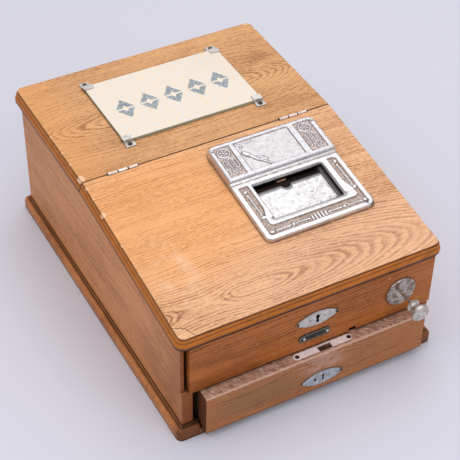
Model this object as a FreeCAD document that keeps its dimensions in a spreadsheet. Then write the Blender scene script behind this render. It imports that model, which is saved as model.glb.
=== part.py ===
import FreeCAD, Part
import os
import re
import Sketcher
from FreeCAD import Placement, Rotation, Vector

# An antique wooden counter till: an oak case with a fixed top board at the back, a sloping
# lid with a metal writing window, a lockable cash drawer, and a plunger that rings a bell
# and winds the paper. Millimetres, +X right and -Y to the front seen from the clerk, +Z up.
# The origin is the centre of the case's footprint, on the counter.

doc = FreeCAD.newDocument("wooden_till")

# ---------------------------------------------------------------- driving dimensions

DIMS = {
    # case
    "case_width": 334, "case_depth": 455, "side_thick": 14, "back_thick": 12,
    "bottom_low": 0, "bottom_high": 10, "top_height": 196, "board_thick": 20,
    "divider_low": 70.5, "divider_thick": 7.5, "rail_deep": 24, "rail_high": 24,
    # moulded edges of the top board and the lid
    "arris_over": 3, "arris_round": 7, "bead_over": 2.3, "torus_over": 4.5,
    "bead_low": 8, "bead_high": 1.7, "torus_high": 6.6,
    # base moulding
    "base_over": 8.5, "base_height": 18.5, "base_step": 2, "base_ledge": 2, "base_round": 7,
    "rail_low": 9.5,
    # lid and its hinges
    "hinge_y": 23, "lid_slope": 7.2, "lid_length": 257, "joint_gap": 0.5, "lid_gap": 0.3,
    "hinge_x": 117.5, "hinge_long": 40.5, "knuckle_radius": 2, "pin_radius": 1.05,
    "pivot_drop": 0.2, "leaf_thick": 1.1, "leaf_deep": 15,
    # cut-out in the lid and the cast window over it
    "cut_left": 4, "cut_right": 110, "cut_rear": 66, "cut_front": 152,
    "cast_left": 16, "cast_right": 131.5, "cast_rear": 18.5, "cast_front": 175.5,
    "cast_step": 81, "cast_low": 6, "cast_high": 12, "cast_wall": 2.4, "cast_round": 8,
    "open_left": 9, "open_right": 105, "open_rear": 90.5, "open_front": 145.5,
    "bed_deep": 1.1, "bed_edge": 6.5, "rim_left": 4, "rim_right": 113.5, "rim_front": 155.5,
    "panel_in": 3.5, "panel_left_end": 12.5, "panel_right_start": 95.5, "panel_deep": 0.7,
    # front panel
    "panel_low": 70, "panel_thick": 18, "panel_proud": 3, "panel_left": 158,
    "strip_wide": 4.5, "notch_left": 52.5, "notch_wide": 10, "notch_high": 5.5,
    # drawer, stored a little open
    "drawer_ajar": 16, "drawer_low": 11, "drawer_high": 69, "drawer_left": 145.5,
    "drawer_right": 152, "front_thick": 18, "wall_thick": 9, "wall_in": 1.5,
    "wall_high": 62, "back_high": 58, "drawer_end": 190, "drawer_floor": 18, "floor_thick": 5,
    "tray_deep": 112, "tray_high": 40, "cup_radius": 31, "cup_dish": 15, "fence_thick": 5,
    # locks
    "key_x": 6, "key_z": 118, "drawer_key_x": 9.5, "drawer_key_z": 31, "key_radius": 1.9,
    "key_slot": 8, "bolt_wide": 17, "bolt_thick": 5, "bolt_step": 5,
    "selvedge_x": 12.7, "selvedge_y": 9.5, "selvedge_long": 79, "selvedge_wide": 9.5,
    "selvedge_thick": 2, "lock_wide": 42, "lock_thick": 9, "lock_wall": 1.2,
    "lid_lock_wide": 72, "lid_lock_low": 98, "lid_lock_high": 144, "lid_lock_thick": 11,
    # small plates on the front
    "oval_half": 29, "oval_rise": 10.5, "plate_thick": 1.4,
    "panel_oval_x": 5.8, "panel_oval_z": 116, "drawer_oval_x": 8.5, "drawer_oval_z": 30,
    "oval_cut": 28, "badge_x": 4, "badge_z": 89, "badge_long": 42, "badge_high": 11,
    "tack_radius": 0.9, "tack_head": 1.6, "tack_long": 6,
    # plunger
    "rod_x": 121.5, "rod_z": 106, "rod_radius": 2.3, "rod_bore": 2.36, "rosette_radius": 20.5,
    "rosette_thick": 3.5, "knob_rear": 28.5, "knob_long": 18, "knob_radius": 11.5,
    "plunger_travel": 20, "guide_y": 60, "guide_thick": 6, "collar_y": 20, "collar_thick": 3,
    "collar_radius": 6.5, "coil_radius": 4.4, "coil_wire": 0.55, "coil_pitch": 4.1,
    "pusher_y": 142.6, "pusher_thick": 3,
    # paper mechanism
    "cheek_left": 10.2, "cheek_right": 98.8, "cheek_thick": 1.6, "cheek_front": 152,
    "cheek_rear": 52, "plate_rear": 102.5, "plate_front": 147, "sheet_thick": 1.2,
    "plate_drop": 1, "thumb_x": 51, "thumb_radius": 6.5, "feed_run": 85, "feed_drop": 14,
    "feed_radius": 10.5, "feed_wide": 12, "journal_radius": 2, "journal_bore": 2.05,
    "supply_y": 140, "supply_z": 118, "takeup_y": 71.6, "takeup_z": 140, "spool_radius": 9,
    "ratchet_radius": 14, "ratchet_root": 12, "arm_reach": 34, "arm_angle": 17.1,
    "arm_pin": 3,
    # bell
    "gong_y": 27.5, "gong_z": 104, "gong_radius": 24, "gong_deep": 13, "gong_wall": 1.6,
    "hammer_y": 69.1, "hammer_z": 150, "hammer_reach": 57, "hammer_angle": 13.1,
    "hammer_ball": 5,
    # drawer catch
    "catch_x": 57.5, "catch_y": 62, "catch_z": 88, "catch_wide": 5,
    # sign plate and its clips
    "sign_x": 2, "sign_y": 130.5, "sign_wide": 192, "sign_deep": 124, "sign_thick": 3.5,
    "clip_wide": 13, "clip_lap": 8, "clip_foot": 11, "clip_thick": 1.1,
    "screw_radius": 1.5, "screw_head": 2.9, "screw_long": 8, "screw_cap": 0.9,
    "tooth_count": 12, "spring_span": 75, "spring_rise": 40, "spring_thick": 1,
}

sheet = doc.addObject("Spreadsheet::Sheet", "dims")
for row, (alias, number) in enumerate(DIMS.items(), 1):
    sheet.set(f"A{row}", alias)
    sheet.set(f"B{row}", str(number))
    sheet.setAlias(f"B{row}", alias)
doc.recompute()

# Places worked out from the driving dimensions, as expressions.
FRONT = "(-case_depth / 2)"
BACK = "(case_depth / 2)"
HALF = "(case_width / 2)"
INNER = "(case_width / 2 - side_thick)"
BACK_FACE = "(case_depth / 2 - back_thick)"
BOARD_LOW = "(top_height - board_thick)"
ARRIS = "(case_width / 2 + arris_over)"
DIVIDER_TOP = "(divider_low + divider_thick)"
PANEL_FACE = f"({FRONT} - panel_proud)"
PANEL_BACK = f"({PANEL_FACE} + panel_thick)"
DRAWER_FACE = f"({PANEL_FACE} - drawer_ajar)"
DRAWER_IN = f"({DRAWER_FACE} + front_thick)"
DRAWER_END = "(drawer_end - drawer_ajar)"
PIVOT_Z = "(top_height - pivot_drop)"
PUSHER_REAR = f"({FRONT} + pusher_y)"


def lid_top(y):
    """Height of the lid's top face at a place along Y."""
    return f"(top_height + (({y}) - hinge_y) * tan(lid_slope))"


def lid_under(y):
    """Height of the lid's underside at a place along Y."""
    return f"({lid_top(y)} - board_thick / cos(lid_slope))"


# ---------------------------------------------------------------- helpers

def value(expression):
    """The number that an expression in the sheet's names stands for."""
    return float(sheet.evalExpression(str(expression)))


def ref(expression):
    """The same expression as another object sees it."""
    def name(match):
        word = match.group(0)
        return "dims." + word if word in DIMS else word
    return re.sub(r"[a-z_][a-z_0-9]*", name, str(expression))


def bind(item, **expressions):
    """Bind properties to the sheet; two underscores stand for a dot."""
    for key, expression in expressions.items():
        item.setExpression(key.replace("__", "."), ref(expression))
    return item


def place(item, x="0", y="0", z="0", axis=None, angle="0"):
    """Put an object at a place, turned about an axis."""
    if axis is not None:
        item.Placement = Placement(Vector(), Rotation(axis, value(angle)))
        bind(item, Placement__Rotation__Angle=angle)
    bind(item, Placement__Base__x=x, Placement__Base__y=y, Placement__Base__z=z)
    return item


X_AXIS = Vector(1, 0, 0)
Y_AXIS = Vector(0, 1, 0)


def add(kind, label):
    item = doc.addObject(kind, label)
    item.Label = label
    return item


def box(label, low, high):
    """A square-cornered block between two corners."""
    item = add("Part::Box", label)
    sizes = [f"({b}) - ({a})" for a, b in zip(low, high)]
    bind(item, Length=sizes[0], Width=sizes[1], Height=sizes[2])
    return place(item, *low)


def cylinder(label, axis, centre, radius, length):
    """A round bar that starts at centre and runs along x, y or z."""
    item = bind(add("Part::Cylinder", label), Radius=radius, Height=length)
    turns = {"x": (Y_AXIS, "90"), "y": (X_AXIS, "-90"), "z": (None, "0")}
    return place(item, *centre, *turns[axis])


def group(label, items, kind="Part::Compound"):
    """Several solids in one object, left apart or fused."""
    item = add(kind, label)
    if kind == "Part::Compound":
        item.Links = items
    else:
        item.Shapes = items
    return item


def fuse(label, items):
    return group(label, items, "Part::MultiFuse")


def cut(label, base, tools):
    item = add("Part::Cut", label)
    item.Base = base
    item.Tool = tools[0] if len(tools) == 1 else group(label + "_tools", tools)
    return item


def common(label, first, second):
    item = add("Part::Common", label)
    item.Base = first
    item.Tool = second
    return item


def body(label):
    return add("PartDesign::Body", label)


def sketch(owner, role, offset="0"):
    """A sketch on one of the body's own origin planes, moved along its normal."""
    new = owner.newObject("Sketcher::SketchObject", owner.Label + "_sketch")
    plane = next(part for part in owner.Origin.OriginFeatures if part.Role == role)
    new.AttachmentSupport = [(plane, "")]
    new.MapMode = "FlatFace"
    return bind(new, AttachmentOffset__Base__z=offset)


def outline(new, points):
    """A closed polygon, with each corner dimensioned from the origin."""
    places = [Vector(value(u), value(v), 0) for u, v in points]
    count = len(points)
    for index in range(count):
        new.addGeometry(Part.LineSegment(places[index], places[(index + 1) % count]), False)
    for index in range(count):
        new.addConstraint(Sketcher.Constraint("Coincident", index, 2, (index + 1) % count, 1))
    for index, corner in enumerate(points):
        for kind, expression in zip(("DistanceX", "DistanceY"), corner):
            rule = Sketcher.Constraint(kind, -1, 1, index, 1, value(expression))
            number = new.addConstraint(rule)
            new.setExpression(f"Constraints[{number}]", ref(expression))
    return new


def rectangle(new, left, low, right, high):
    return outline(new, [(left, low), (right, low), (right, high), (left, high)])


def pad(owner, profile, length):
    feature = owner.newObject("PartDesign::Pad", owner.Label + "_pad")
    feature.Profile = profile
    return bind(feature, Length=length)


def pocket(owner, profile, length, upward=False):
    """A pocket cut down from its sketch, or up from it."""
    feature = owner.newObject("PartDesign::Pocket", owner.Label + "_pocket")
    feature.Profile = profile
    feature.Reversed = upward
    return bind(feature, Length=length)


def fillet(owner, base, wanted, radius):
    """Round the edges of a feature that a test picks out."""
    base.recompute(True)
    names = [f"Edge{i}" for i, edge in enumerate(base.Shape.Edges, 1) if wanted(edge)]
    feature = owner.newObject("PartDesign::Fillet", owner.Label + "_fillet")
    feature.Base = (base, names)
    return bind(feature, Radius=radius)


def upright(edge):
    return edge.BoundBox.ZLength > 0.9 * edge.Length


def level_at(height):
    """A test for edges that lie at one height."""
    level = value(height)
    return lambda edge: abs(edge.BoundBox.ZMin - level) + abs(edge.BoundBox.ZMax - level) < 0.01


def prism(label, role, points, length, offset="0"):
    """A polygon on an origin plane, padded along the plane's normal."""
    item = body(label)
    pad(item, outline(sketch(item, role, offset), points), length)
    return item


def side_prism(label, points, left, right):
    """A polygon of (y, z) corners that runs along X from left to right."""
    return prism(label, "YZ_Plane", points, f"({right}) - ({left})", left)


def turned(label, points):
    """A piece turned about the local Z axis from (radius, height) corners."""
    item = body(label)
    profile = outline(sketch(item, "XZ_Plane"), points)
    feature = item.newObject("PartDesign::Revolution", label + "_turn")
    feature.Profile = profile
    feature.ReferenceAxis = (profile, ["V_Axis"])
    feature.Angle = 360
    return item


def screw(label, x, y, z):
    """A countersunk wood screw that stands in from above, its head's underside at z."""
    shank = cylinder(label + "_shank", "z", (x, y, f"({z}) - screw_long"),
                     "screw_radius", "screw_long")
    head = cylinder(label + "_head", "z", (x, y, z), "screw_head", "screw_cap")
    return fuse(label, [shank, head])


def screw_hole(label, x, y, z):
    return cylinder(label, "z", (x, y, f"({z}) - screw_long"), "screw_radius", "screw_long + 6")


def tack(label, x, y, z):
    """A small domed pin driven in from the front, its head's back face at y."""
    shank = cylinder(label + "_shank", "y", (x, y, z), "tack_radius", "tack_long")
    head = cylinder(label + "_head", "y", (x, f"({y}) - 0.8", z), "tack_head", "0.8")
    return fuse(label, [shank, head])


def tack_hole(label, x, y, z):
    return cylinder(label, "y", (x, f"({y}) - 3", z), "tack_radius", "tack_long + 3")


def on_lid(item):
    """Lay a piece that was made flat on the slope of the lid."""
    return place(item, "0", "hinge_y", "top_height", X_AXIS, "lid_slope")


NODES = []


def keep(*items):
    """Mark finished sub-parts for export."""
    NODES.extend(items)


def mirrored(sign, first, second):
    """A pair of x places in rising order, on the right (1) or the left (-1)."""
    if sign > 0:
        return first, second
    return f"-({second})", f"-({first})"


SIDES = (("left", -1), ("right", 1))

# ---------------------------------------------------------------- case

def case_sides():
    """The two side boards, rebated at the front for the ends of the upper panel."""
    set_back = f"({FRONT} + panel_proud)"
    points = [
        (FRONT, "0"), (BACK, "0"), (BACK, BOARD_LOW), ("hinge_y", BOARD_LOW),
        ("hinge_y", f"{lid_under('hinge_y')} - lid_gap"),
        (set_back, f"{lid_under(set_back)} - lid_gap"),
        (set_back, "panel_low"), (FRONT, "panel_low"),
    ]
    for name, sign in SIDES:
        left, right = mirrored(sign, INNER, HALF)
        board = side_prism(f"side_{name}_board", points, left, right)
        left, right = mirrored(sign, f"{INNER} - 1", f"{HALF} - strip_wide")
        rebate = box(f"side_{name}_rebate", (left, f"{FRONT} - 1", "panel_low"),
                     (right, f"{PANEL_BACK} + 0.3", BOARD_LOW))
        keep(cut(f"side_{name}", board, [rebate]))


def case_boards():
    """The back, the bottom, the board over the drawer and the rail under the hinges."""
    keep(box("back_panel", (f"-{INNER}", BACK_FACE, "bottom_low"), (INNER, BACK, BOARD_LOW)))
    keep(box("bottom_board", (f"-{INNER}", FRONT, "bottom_low"),
             (INNER, BACK_FACE, "bottom_high")))
    keep(box("hinge_rail", (f"-{INNER}", "hinge_y + joint_gap", f"{BOARD_LOW} - rail_high"),
             (INNER, "hinge_y + joint_gap + rail_deep", BOARD_LOW)))
    divider = box("divider_blank", (f"-{INNER}", f"{PANEL_BACK} + 0.3", "divider_low"),
                  (INNER, BACK_FACE, DIVIDER_TOP))
    slot = box("divider_slot", ("catch_x - catch_wide", f"{FRONT} + 15", "divider_low - 1"),
               ("catch_x + catch_wide", f"{FRONT} + 24", f"{DIVIDER_TOP} + 1"))
    keep(cut("divider_board", divider, [slot]))


def base_mouldings():
    """A moulded skirt round the foot of the case, and a low rail under the drawer."""
    ring = body("base_ring")
    for low, high, out, rounding in (
            ("0", "base_height - base_step", "base_over", "base_round"),
            ("base_height - base_step - 1", "base_height", "base_ledge", "base_round / 2")):
        ends = f"{HALF} + {out}", f"{BACK} + {out}"
        profile = rectangle(sketch(ring, "XY_Plane", low), f"-({ends[0]})", f"-({ends[1]})", *ends)
        block = pad(ring, profile, f"({high}) - ({low})")
        if out == "base_over":
            block = fillet(ring, block, upright, rounding)
            fillet(ring, block, level_at(high), "base_over - base_ledge")
    inside = rectangle(sketch(ring, "XY_Plane"), f"-{HALF}", FRONT, HALF, BACK)
    pocket(ring, inside, "base_height", upward=True)
    far = "(base_over + 20)"
    left_side = [(f"-{HALF}", FRONT), (f"-{HALF} - {far}", f"{FRONT} - {far}"),
                 (f"-{HALF} - {far}", f"{BACK} + {far}"), (f"-{HALF}", BACK)]
    right_side = [(f"-({u})", v) for u, v in left_side]
    back_side = [(f"-{HALF}", BACK), (f"-{HALF} - {far}", f"{BACK} + {far}"),
                 (f"{HALF} + {far}", f"{BACK} + {far}"), (HALF, BACK)]
    for name, points in (("left", left_side), ("right", right_side), ("back", back_side)):
        region = prism(f"base_{name}_region", "XY_Plane", points, "base_height + 2", "-1")
        keep(common(f"base_{name}", ring, region))
    returns = []
    ends = {"left": "(-drawer_left - 1.5)", "right": "(drawer_right + 1.5)"}
    for name, sign in SIDES:
        points = [(f"{sign} * {HALF}", FRONT), (ends[name], FRONT),
                  (ends[name], f"{FRONT} - {far}"),
                  (f"{sign} * ({HALF} + {far})", f"{FRONT} - {far}")]
        region = prism(f"base_return_{name}_region", "XY_Plane", points, "base_height + 2", "-1")
        returns.append(common(f"base_return_{name}", ring, region))
    keep(group("base_returns", returns))
    keep(box("base_rail", (ends["left"], f"{FRONT} - base_over", "0"),
             (ends["right"], FRONT, "rail_low")))


def edge_layer(label, sign, length, layer):
    """One layer of a moulded board, rounded at its two far corners and along its edges."""
    low, high, out, rounding, softenings = layer
    item = body(label)
    near, away = f"{sign} * joint_gap", f"{sign} * ({length} + {out})"
    profile = rectangle(sketch(item, "XY_Plane", low), f"-({ARRIS} + {out})", near,
                        f"{ARRIS} + {out}", away)
    near_y, far_y = value(near), value(away)

    def far_corner(edge):
        return upright(edge) and abs(edge.BoundBox.YMin - far_y) < 0.01

    def off_joint(edge):
        bounds = edge.BoundBox
        return abs(bounds.YMin - near_y) + abs(bounds.YMax - near_y) > 0.01

    block = fillet(item, pad(item, profile, f"({high}) - ({low})"), far_corner, rounding)
    for level, radius in softenings:
        at_level = level_at(level)
        block = fillet(item, block, lambda e, t=at_level: t(e) and off_joint(e), radius)
    return item


def moulded_board(label, sign, length):
    """A board that starts at the hinge line, with a moulded edge round its other three sides."""
    torus_low, torus_high, bead_high = "-board_thick", "-torus_high", "-bead_high"
    layers = (
        (torus_low, torus_high, "torus_over", "arris_round + torus_over",
         ((torus_high, "torus_over"), (torus_low, "torus_over + 1.5"))),
        ("-bead_low", bead_high, "bead_over", "arris_round + bead_over",
         ((bead_high, "bead_over + 0.5"),)),
        ("-bead_high - 1", "0", "0", "arris_round", ()),
    )
    return fuse(label, [edge_layer(f"{label}_layer_{n}", sign, length, layer)
                        for n, layer in enumerate(layers)])


def hinge_recesses(label, sign):
    """Blocks that cut the seats of both hinges out of the edge of a board."""
    items = []
    for name, side in SIDES:
        left = f"{side} * hinge_x - hinge_long / 2"
        right = f"{side} * hinge_x + hinge_long / 2"
        seat = f"{sign} * (joint_gap + leaf_thick)"
        knuckle = f"{sign} * (knuckle_radius + 0.4)"
        for kind, depth, low in (("leaf", seat, "-leaf_deep"), ("knuckle", knuckle, "-3.4")):
            ends = sorted(("0", depth), key=value)
            items.append(box(f"{label}_{name}_{kind}", (left, ends[0], low),
                             (right, ends[1], "1")))
    return items


def top_board():
    """The fixed board at the back of the top, which carries the sign."""
    length = f"({BACK} + arris_over + 1.5 - hinge_y)"
    board = moulded_board("top_board_blank", 1, length)
    tools = hinge_recesses("top_recess", 1)
    tools += [screw_hole(f"top_pilot_{n}", x, f"({y}) - hinge_y", "0")
              for n, (x, y) in enumerate(clip_screw_places())]
    keep(place(cut("top_board", board, tools), "0", "hinge_y", "top_height"))


# ---------------------------------------------------------------- hinges

def hinge_set():
    """Two butt hinges: three knuckles on a pin, with a leaf let into each board's edge."""
    case_leaves, lid_leaves, pins = [], [], []
    knuckle = "(hinge_long / 3)"
    faces = {"case": ("joint_gap", "joint_gap + leaf_thick"),
             "lid": ("-joint_gap - leaf_thick", "-joint_gap")}
    for name, side in SIDES:
        start = f"({side} * hinge_x - hinge_long / 2)"
        pins.append(cylinder(f"hinge_pin_{name}", "x", (start, "hinge_y", PIVOT_Z),
                             "pin_radius", "hinge_long"))
        for owner, spans, parts in (("case", (0, 2), case_leaves), ("lid", (1,), lid_leaves)):
            solids = []
            inner, outer = faces[owner]
            for span in spans:
                at = f"{start} + {span} * {knuckle} + 0.1"
                solids.append(cylinder(f"{owner}_knuckle_{name}_{span}", "x",
                                       (at, "0", "-pivot_drop"), "knuckle_radius",
                                       f"{knuckle} - 0.2"))
                solids.append(box(f"{owner}_tab_{name}_{span}", (at, inner, "-leaf_deep"),
                                  (f"{at} + {knuckle} - 0.2", outer, "-pivot_drop")))
            solids.append(box(f"{owner}_leaf_{name}", (f"{start} + 0.1", inner, "-leaf_deep"),
                              (f"{start} + hinge_long - 0.1", outer, "-knuckle_radius - 1")))
            whole = fuse(f"{owner}_hinge_{name}_whole", solids)
            bore = cylinder(f"{owner}_hinge_{name}_bore", "x", (start, "0", "-pivot_drop"),
                            "pin_radius + 0.04", "hinge_long")
            parts.append(cut(f"{owner}_hinge_{name}", whole, [bore]))
    for owner, parts in (("case", case_leaves), ("lid", lid_leaves)):
        keep(place(group(f"hinge_leaves_{owner}", parts), "0", "hinge_y", "top_height"))
    keep(group("hinge_pins", pins))


# ---------------------------------------------------------------- lid

CAST_SCREWS = (("-12.5", "-26"), ("128", "-26"), ("-5.5", "-165"), ("122", "-165"))


def lid_board():
    """The sloping lid, cut out under the writing window and bored for the lock's bolt."""
    board = moulded_board("lid_board_blank", -1, "lid_length")
    joint = box("lid_joint", (f"-{HALF} - 20", "-joint_gap", "-board_thick - 10"),
                (f"{HALF} + 20", "20", "10"))
    upright_cuts = group("lid_upright_cuts", [joint] + hinge_recesses("lid_recess", -1))
    tools = [place(upright_cuts, "0", "0", "0", X_AXIS, "-lid_slope")]
    tools.append(box("lid_cutout", ("cut_left", "-cut_front", "-board_thick - 1"),
                     ("cut_right", "-cut_rear", "1")))
    run = f"(({FRONT} + 21 - hinge_y) / cos(lid_slope))"
    tools.append(box("lid_mortise", ("key_x - bolt_wide / 2 - 2", f"{run} - 6", "-board_thick - 1"),
                     ("key_x + bolt_wide / 2 + 2", f"{run} + 7", "-board_thick + 9")))
    tools += [screw_hole(f"lid_pilot_{n}", x, y, "0") for n, (x, y) in enumerate(CAST_SCREWS)]
    keep(on_lid(cut("lid_board", board, tools)))


def window_casting():
    """The cast frame round the writing window: a low frame with a raised plate behind it."""
    item = body("window_casting_blank")
    low = rectangle(sketch(item, "XY_Plane"), "-cast_left", "-cast_front",
                    "cast_right", "-cast_rear")
    block = fillet(item, pad(item, low, "cast_low"), upright, "cast_round")
    high = rectangle(sketch(item, "XY_Plane"), "-cast_left", "-cast_step",
                     "cast_right", "-cast_rear")
    block = pad(item, high, "cast_high")
    rear = value("-cast_rear")
    block = fillet(item, block,
                   lambda e: upright(e) and abs(e.BoundBox.YMin - rear) < 0.01, "cast_round")
    hollow = rectangle(sketch(item, "XY_Plane"), "-cast_left + cast_wall + 6",
                       "-cast_step + cast_wall", "cast_right - cast_wall - 6",
                       "-cast_rear - cast_wall - 6")
    pocket(item, hollow, "cast_high - cast_wall", upward=True)
    opening = rectangle(sketch(item, "XY_Plane"), "open_left", "-open_front",
                        "open_right", "-open_rear")
    pocket(item, opening, "cast_low + 1", upward=True)
    bed_left, bed_right = "(-cast_left + bed_edge)", "(cast_right - bed_edge)"
    bed_front = "(-cast_front + bed_edge + 1.5)"
    bed = outline(sketch(item, "XY_Plane", "cast_low"), [
        (bed_left, "-open_rear"), (bed_left, bed_front), (bed_right, bed_front),
        (bed_right, "-open_rear"), ("rim_right", "-open_rear"), ("rim_right", "-rim_front"),
        ("rim_left", "-rim_front"), ("rim_left", "-open_rear")])
    pocket(item, bed, "bed_deep")
    panels = (("-cast_left + panel_in", "panel_left_end"),
              ("panel_left_end + panel_in", "panel_right_start - panel_in"),
              ("panel_right_start", "cast_right - panel_in"))
    for left, right in panels:
        field = rectangle(sketch(item, "XY_Plane", "cast_high"), left,
                          "-cast_step + panel_in + 2", right, "-cast_rear - panel_in - 1")
        pocket(item, field, "panel_deep")
    seats = ("cast_high", "cast_high", "cast_low - bed_deep", "cast_low - bed_deep")
    bosses = [cylinder(f"cast_boss_{n}", "z", (x, y, "cast_low"), "screw_head",
                       "cast_high - cast_low") for n, (x, y) in enumerate(CAST_SCREWS[:2])]
    holes = [cylinder(f"cast_hole_{n}", "z", (x, y, "-1"), "screw_radius", "20")
             for n, (x, y) in enumerate(CAST_SCREWS)]
    keep(on_lid(cut("window_casting", fuse("casting_with_bosses", [item] + bosses), holes)))
    screws = []
    for n, ((x, y), seat) in enumerate(zip(CAST_SCREWS, seats)):
        shank = cylinder(f"cast_screw_{n}_shank", "z", (x, y, "-6"), "screw_radius",
                         f"{seat} + 6")
        head = cylinder(f"cast_screw_{n}_head", "z", (x, y, seat), "screw_head - 0.4",
                        "screw_cap")
        screws.append(fuse(f"cast_screw_{n}", [shank, head]))
    keep(on_lid(group("casting_screws", screws)))


# ---------------------------------------------------------------- front of the case

def keyhole(label, x, z, y_front, depth):
    """A round-topped keyhole cut from the front."""
    round_part = cylinder(label + "_round", "y", (x, y_front, f"({z}) + 2"), "key_radius", depth)
    slot = box(label + "_slot", (f"({x}) - key_radius * 0.55", y_front, f"({z}) + 2 - key_slot"),
               (f"({x}) + key_radius * 0.55", f"({y_front}) + {depth}", f"({z}) + 2"))
    return [round_part, slot]


def oval_plate(label, x, z, y_back):
    """A thin plate with a pointed oval outline, its back face at y_back."""
    radius = "((oval_half ^ 2 + oval_rise ^ 2) / (2 * oval_rise))"
    front = f"({y_back}) - plate_thick"
    halves = [cylinder(f"{label}_arc_{n}", "y", (x, front, f"({z}) + {s} * ({radius} - oval_rise)"),
                       radius, "plate_thick") for n, s in enumerate((-1, 1))]
    return common(label + "_oval", *halves)


PANEL_TACKS = (("panel_oval_x - 26", "panel_oval_z", "plate_thick"),
               ("panel_oval_x + 26", "panel_oval_z", "plate_thick"),
               ("badge_x - 14.5", "badge_z", "plate_thick"),
               ("badge_x + 16.5", "badge_z", "plate_thick"))


def front_panel():
    """The fixed panel above the drawer; its left end has lost the lip that covered the side."""
    def slab(label, front, back, left, right):
        points = [(front, "panel_low"), (back, "panel_low"),
                  (back, f"{lid_under(back)} - lid_gap"),
                  (front, f"{lid_under(front)} - lid_gap")]
        return side_prism(label, points, left, right)

    lip_back = f"({FRONT} + panel_proud)"
    main = slab("panel_main", PANEL_FACE, PANEL_BACK, "-panel_left", f"{HALF} - strip_wide")
    lip = slab("panel_lip", PANEL_FACE, lip_back, f"{HALF} - strip_wide", HALF)
    tools = [
        box("panel_notch", ("notch_left", f"{PANEL_FACE} - 1", "panel_low - 1"),
            ("notch_left + notch_wide", f"{PANEL_BACK} + 1", "panel_low + notch_high")),
        box("panel_mortise", (f"selvedge_x + 2.5 - bolt_wide / 2 - 1", f"{FRONT} + 2.5",
                              "panel_low - 1"),
            (f"selvedge_x + 2.5 + bolt_wide / 2 + 1", f"{FRONT} + 10.5", "panel_low + 9")),
        cylinder("panel_rod_hole", "y", ("rod_x", f"{PANEL_FACE} - 1", "rod_z"),
                 "rod_radius + 0.9", "panel_thick + 2"),
    ]
    tools += keyhole("panel_keyhole", "key_x", "key_z", f"{PANEL_FACE} - 1", "panel_thick + 2")
    tools += [tack_hole(f"panel_tack_hole_{n}", x, f"{PANEL_FACE} - {out}", z)
              for n, (x, z, out) in enumerate(PANEL_TACKS)]
    keep(cut("front_panel", fuse("panel_blank", [main, lip]), tools))
    oval = oval_plate("panel_escutcheon", "panel_oval_x", "panel_oval_z", PANEL_FACE)
    holes = keyhole("panel_oval_key", "key_x", "key_z", f"{PANEL_FACE} - 3", "6")
    holes += [tack_hole(f"panel_oval_tack_{n}", x, f"{PANEL_FACE} - {out}", z)
              for n, (x, z, out) in enumerate(PANEL_TACKS[:2])]
    keep(cut("panel_escutcheon", oval, holes))
    badge = body("badge_blank")
    ends = [f"badge_{axis} {op} badge_{size} / 2" for axis, size in (("x", "long"), ("z", "high"))
            for op in "-+"]
    profile = rectangle(sketch(badge, "XZ_Plane"), ends[0], ends[2], ends[1], ends[3])
    block = pad(badge, profile, "plate_thick")
    fillet(badge, block, lambda e: e.BoundBox.YLength > 0.9 * e.Length, "badge_high / 2 - 0.05")
    place(badge, "0", PANEL_FACE, "0")
    holes = [tack_hole(f"badge_tack_{n}", x, f"{PANEL_FACE} - {out}", z)
             for n, (x, z, out) in enumerate(PANEL_TACKS[2:])]
    keep(cut("blank_badge", badge, holes))
    keep(group("panel_tacks", [tack(f"panel_tack_{n}", x, f"{PANEL_FACE} - {out}", z)
                               for n, (x, z, out) in enumerate(PANEL_TACKS)]))


def lid_lock():
    """A box lock on the back of the panel, whose bolt rises into the lid."""
    left, right = "(key_x - lid_lock_wide / 2)", "(key_x + lid_lock_wide / 2)"
    rear = f"({PANEL_BACK} + lid_lock_thick)"
    shell = box("lid_lock_shell", (left, PANEL_BACK, "lid_lock_low"),
                (right, rear, "lid_lock_high"))
    hollow = box("lid_lock_hollow",
                 (f"{left} + lock_wall", f"{PANEL_BACK} - 1", "lid_lock_low + lock_wall"),
                 (f"{right} - lock_wall", f"{rear} - lock_wall", "lid_lock_high - lock_wall"))
    bolt_low = ("key_x - bolt_wide / 2", f"{FRONT} + 18.5", "lid_lock_low + 20")
    bolt_high = ("key_x + bolt_wide / 2", f"{FRONT} + 18.5 + bolt_thick", "lid_lock_high - 0.2")
    slot = box("lid_lock_slot", [f"{edge} - 0.3" for edge in bolt_low],
               [f"{edge} + 0.3" for edge in bolt_high[:2]] + ["lid_lock_high + 1"])
    keep(cut("lid_lock_case", shell, [hollow, slot]))
    keep(box("lid_bolt", bolt_low, bolt_high))


# ---------------------------------------------------------------- drawer

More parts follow.
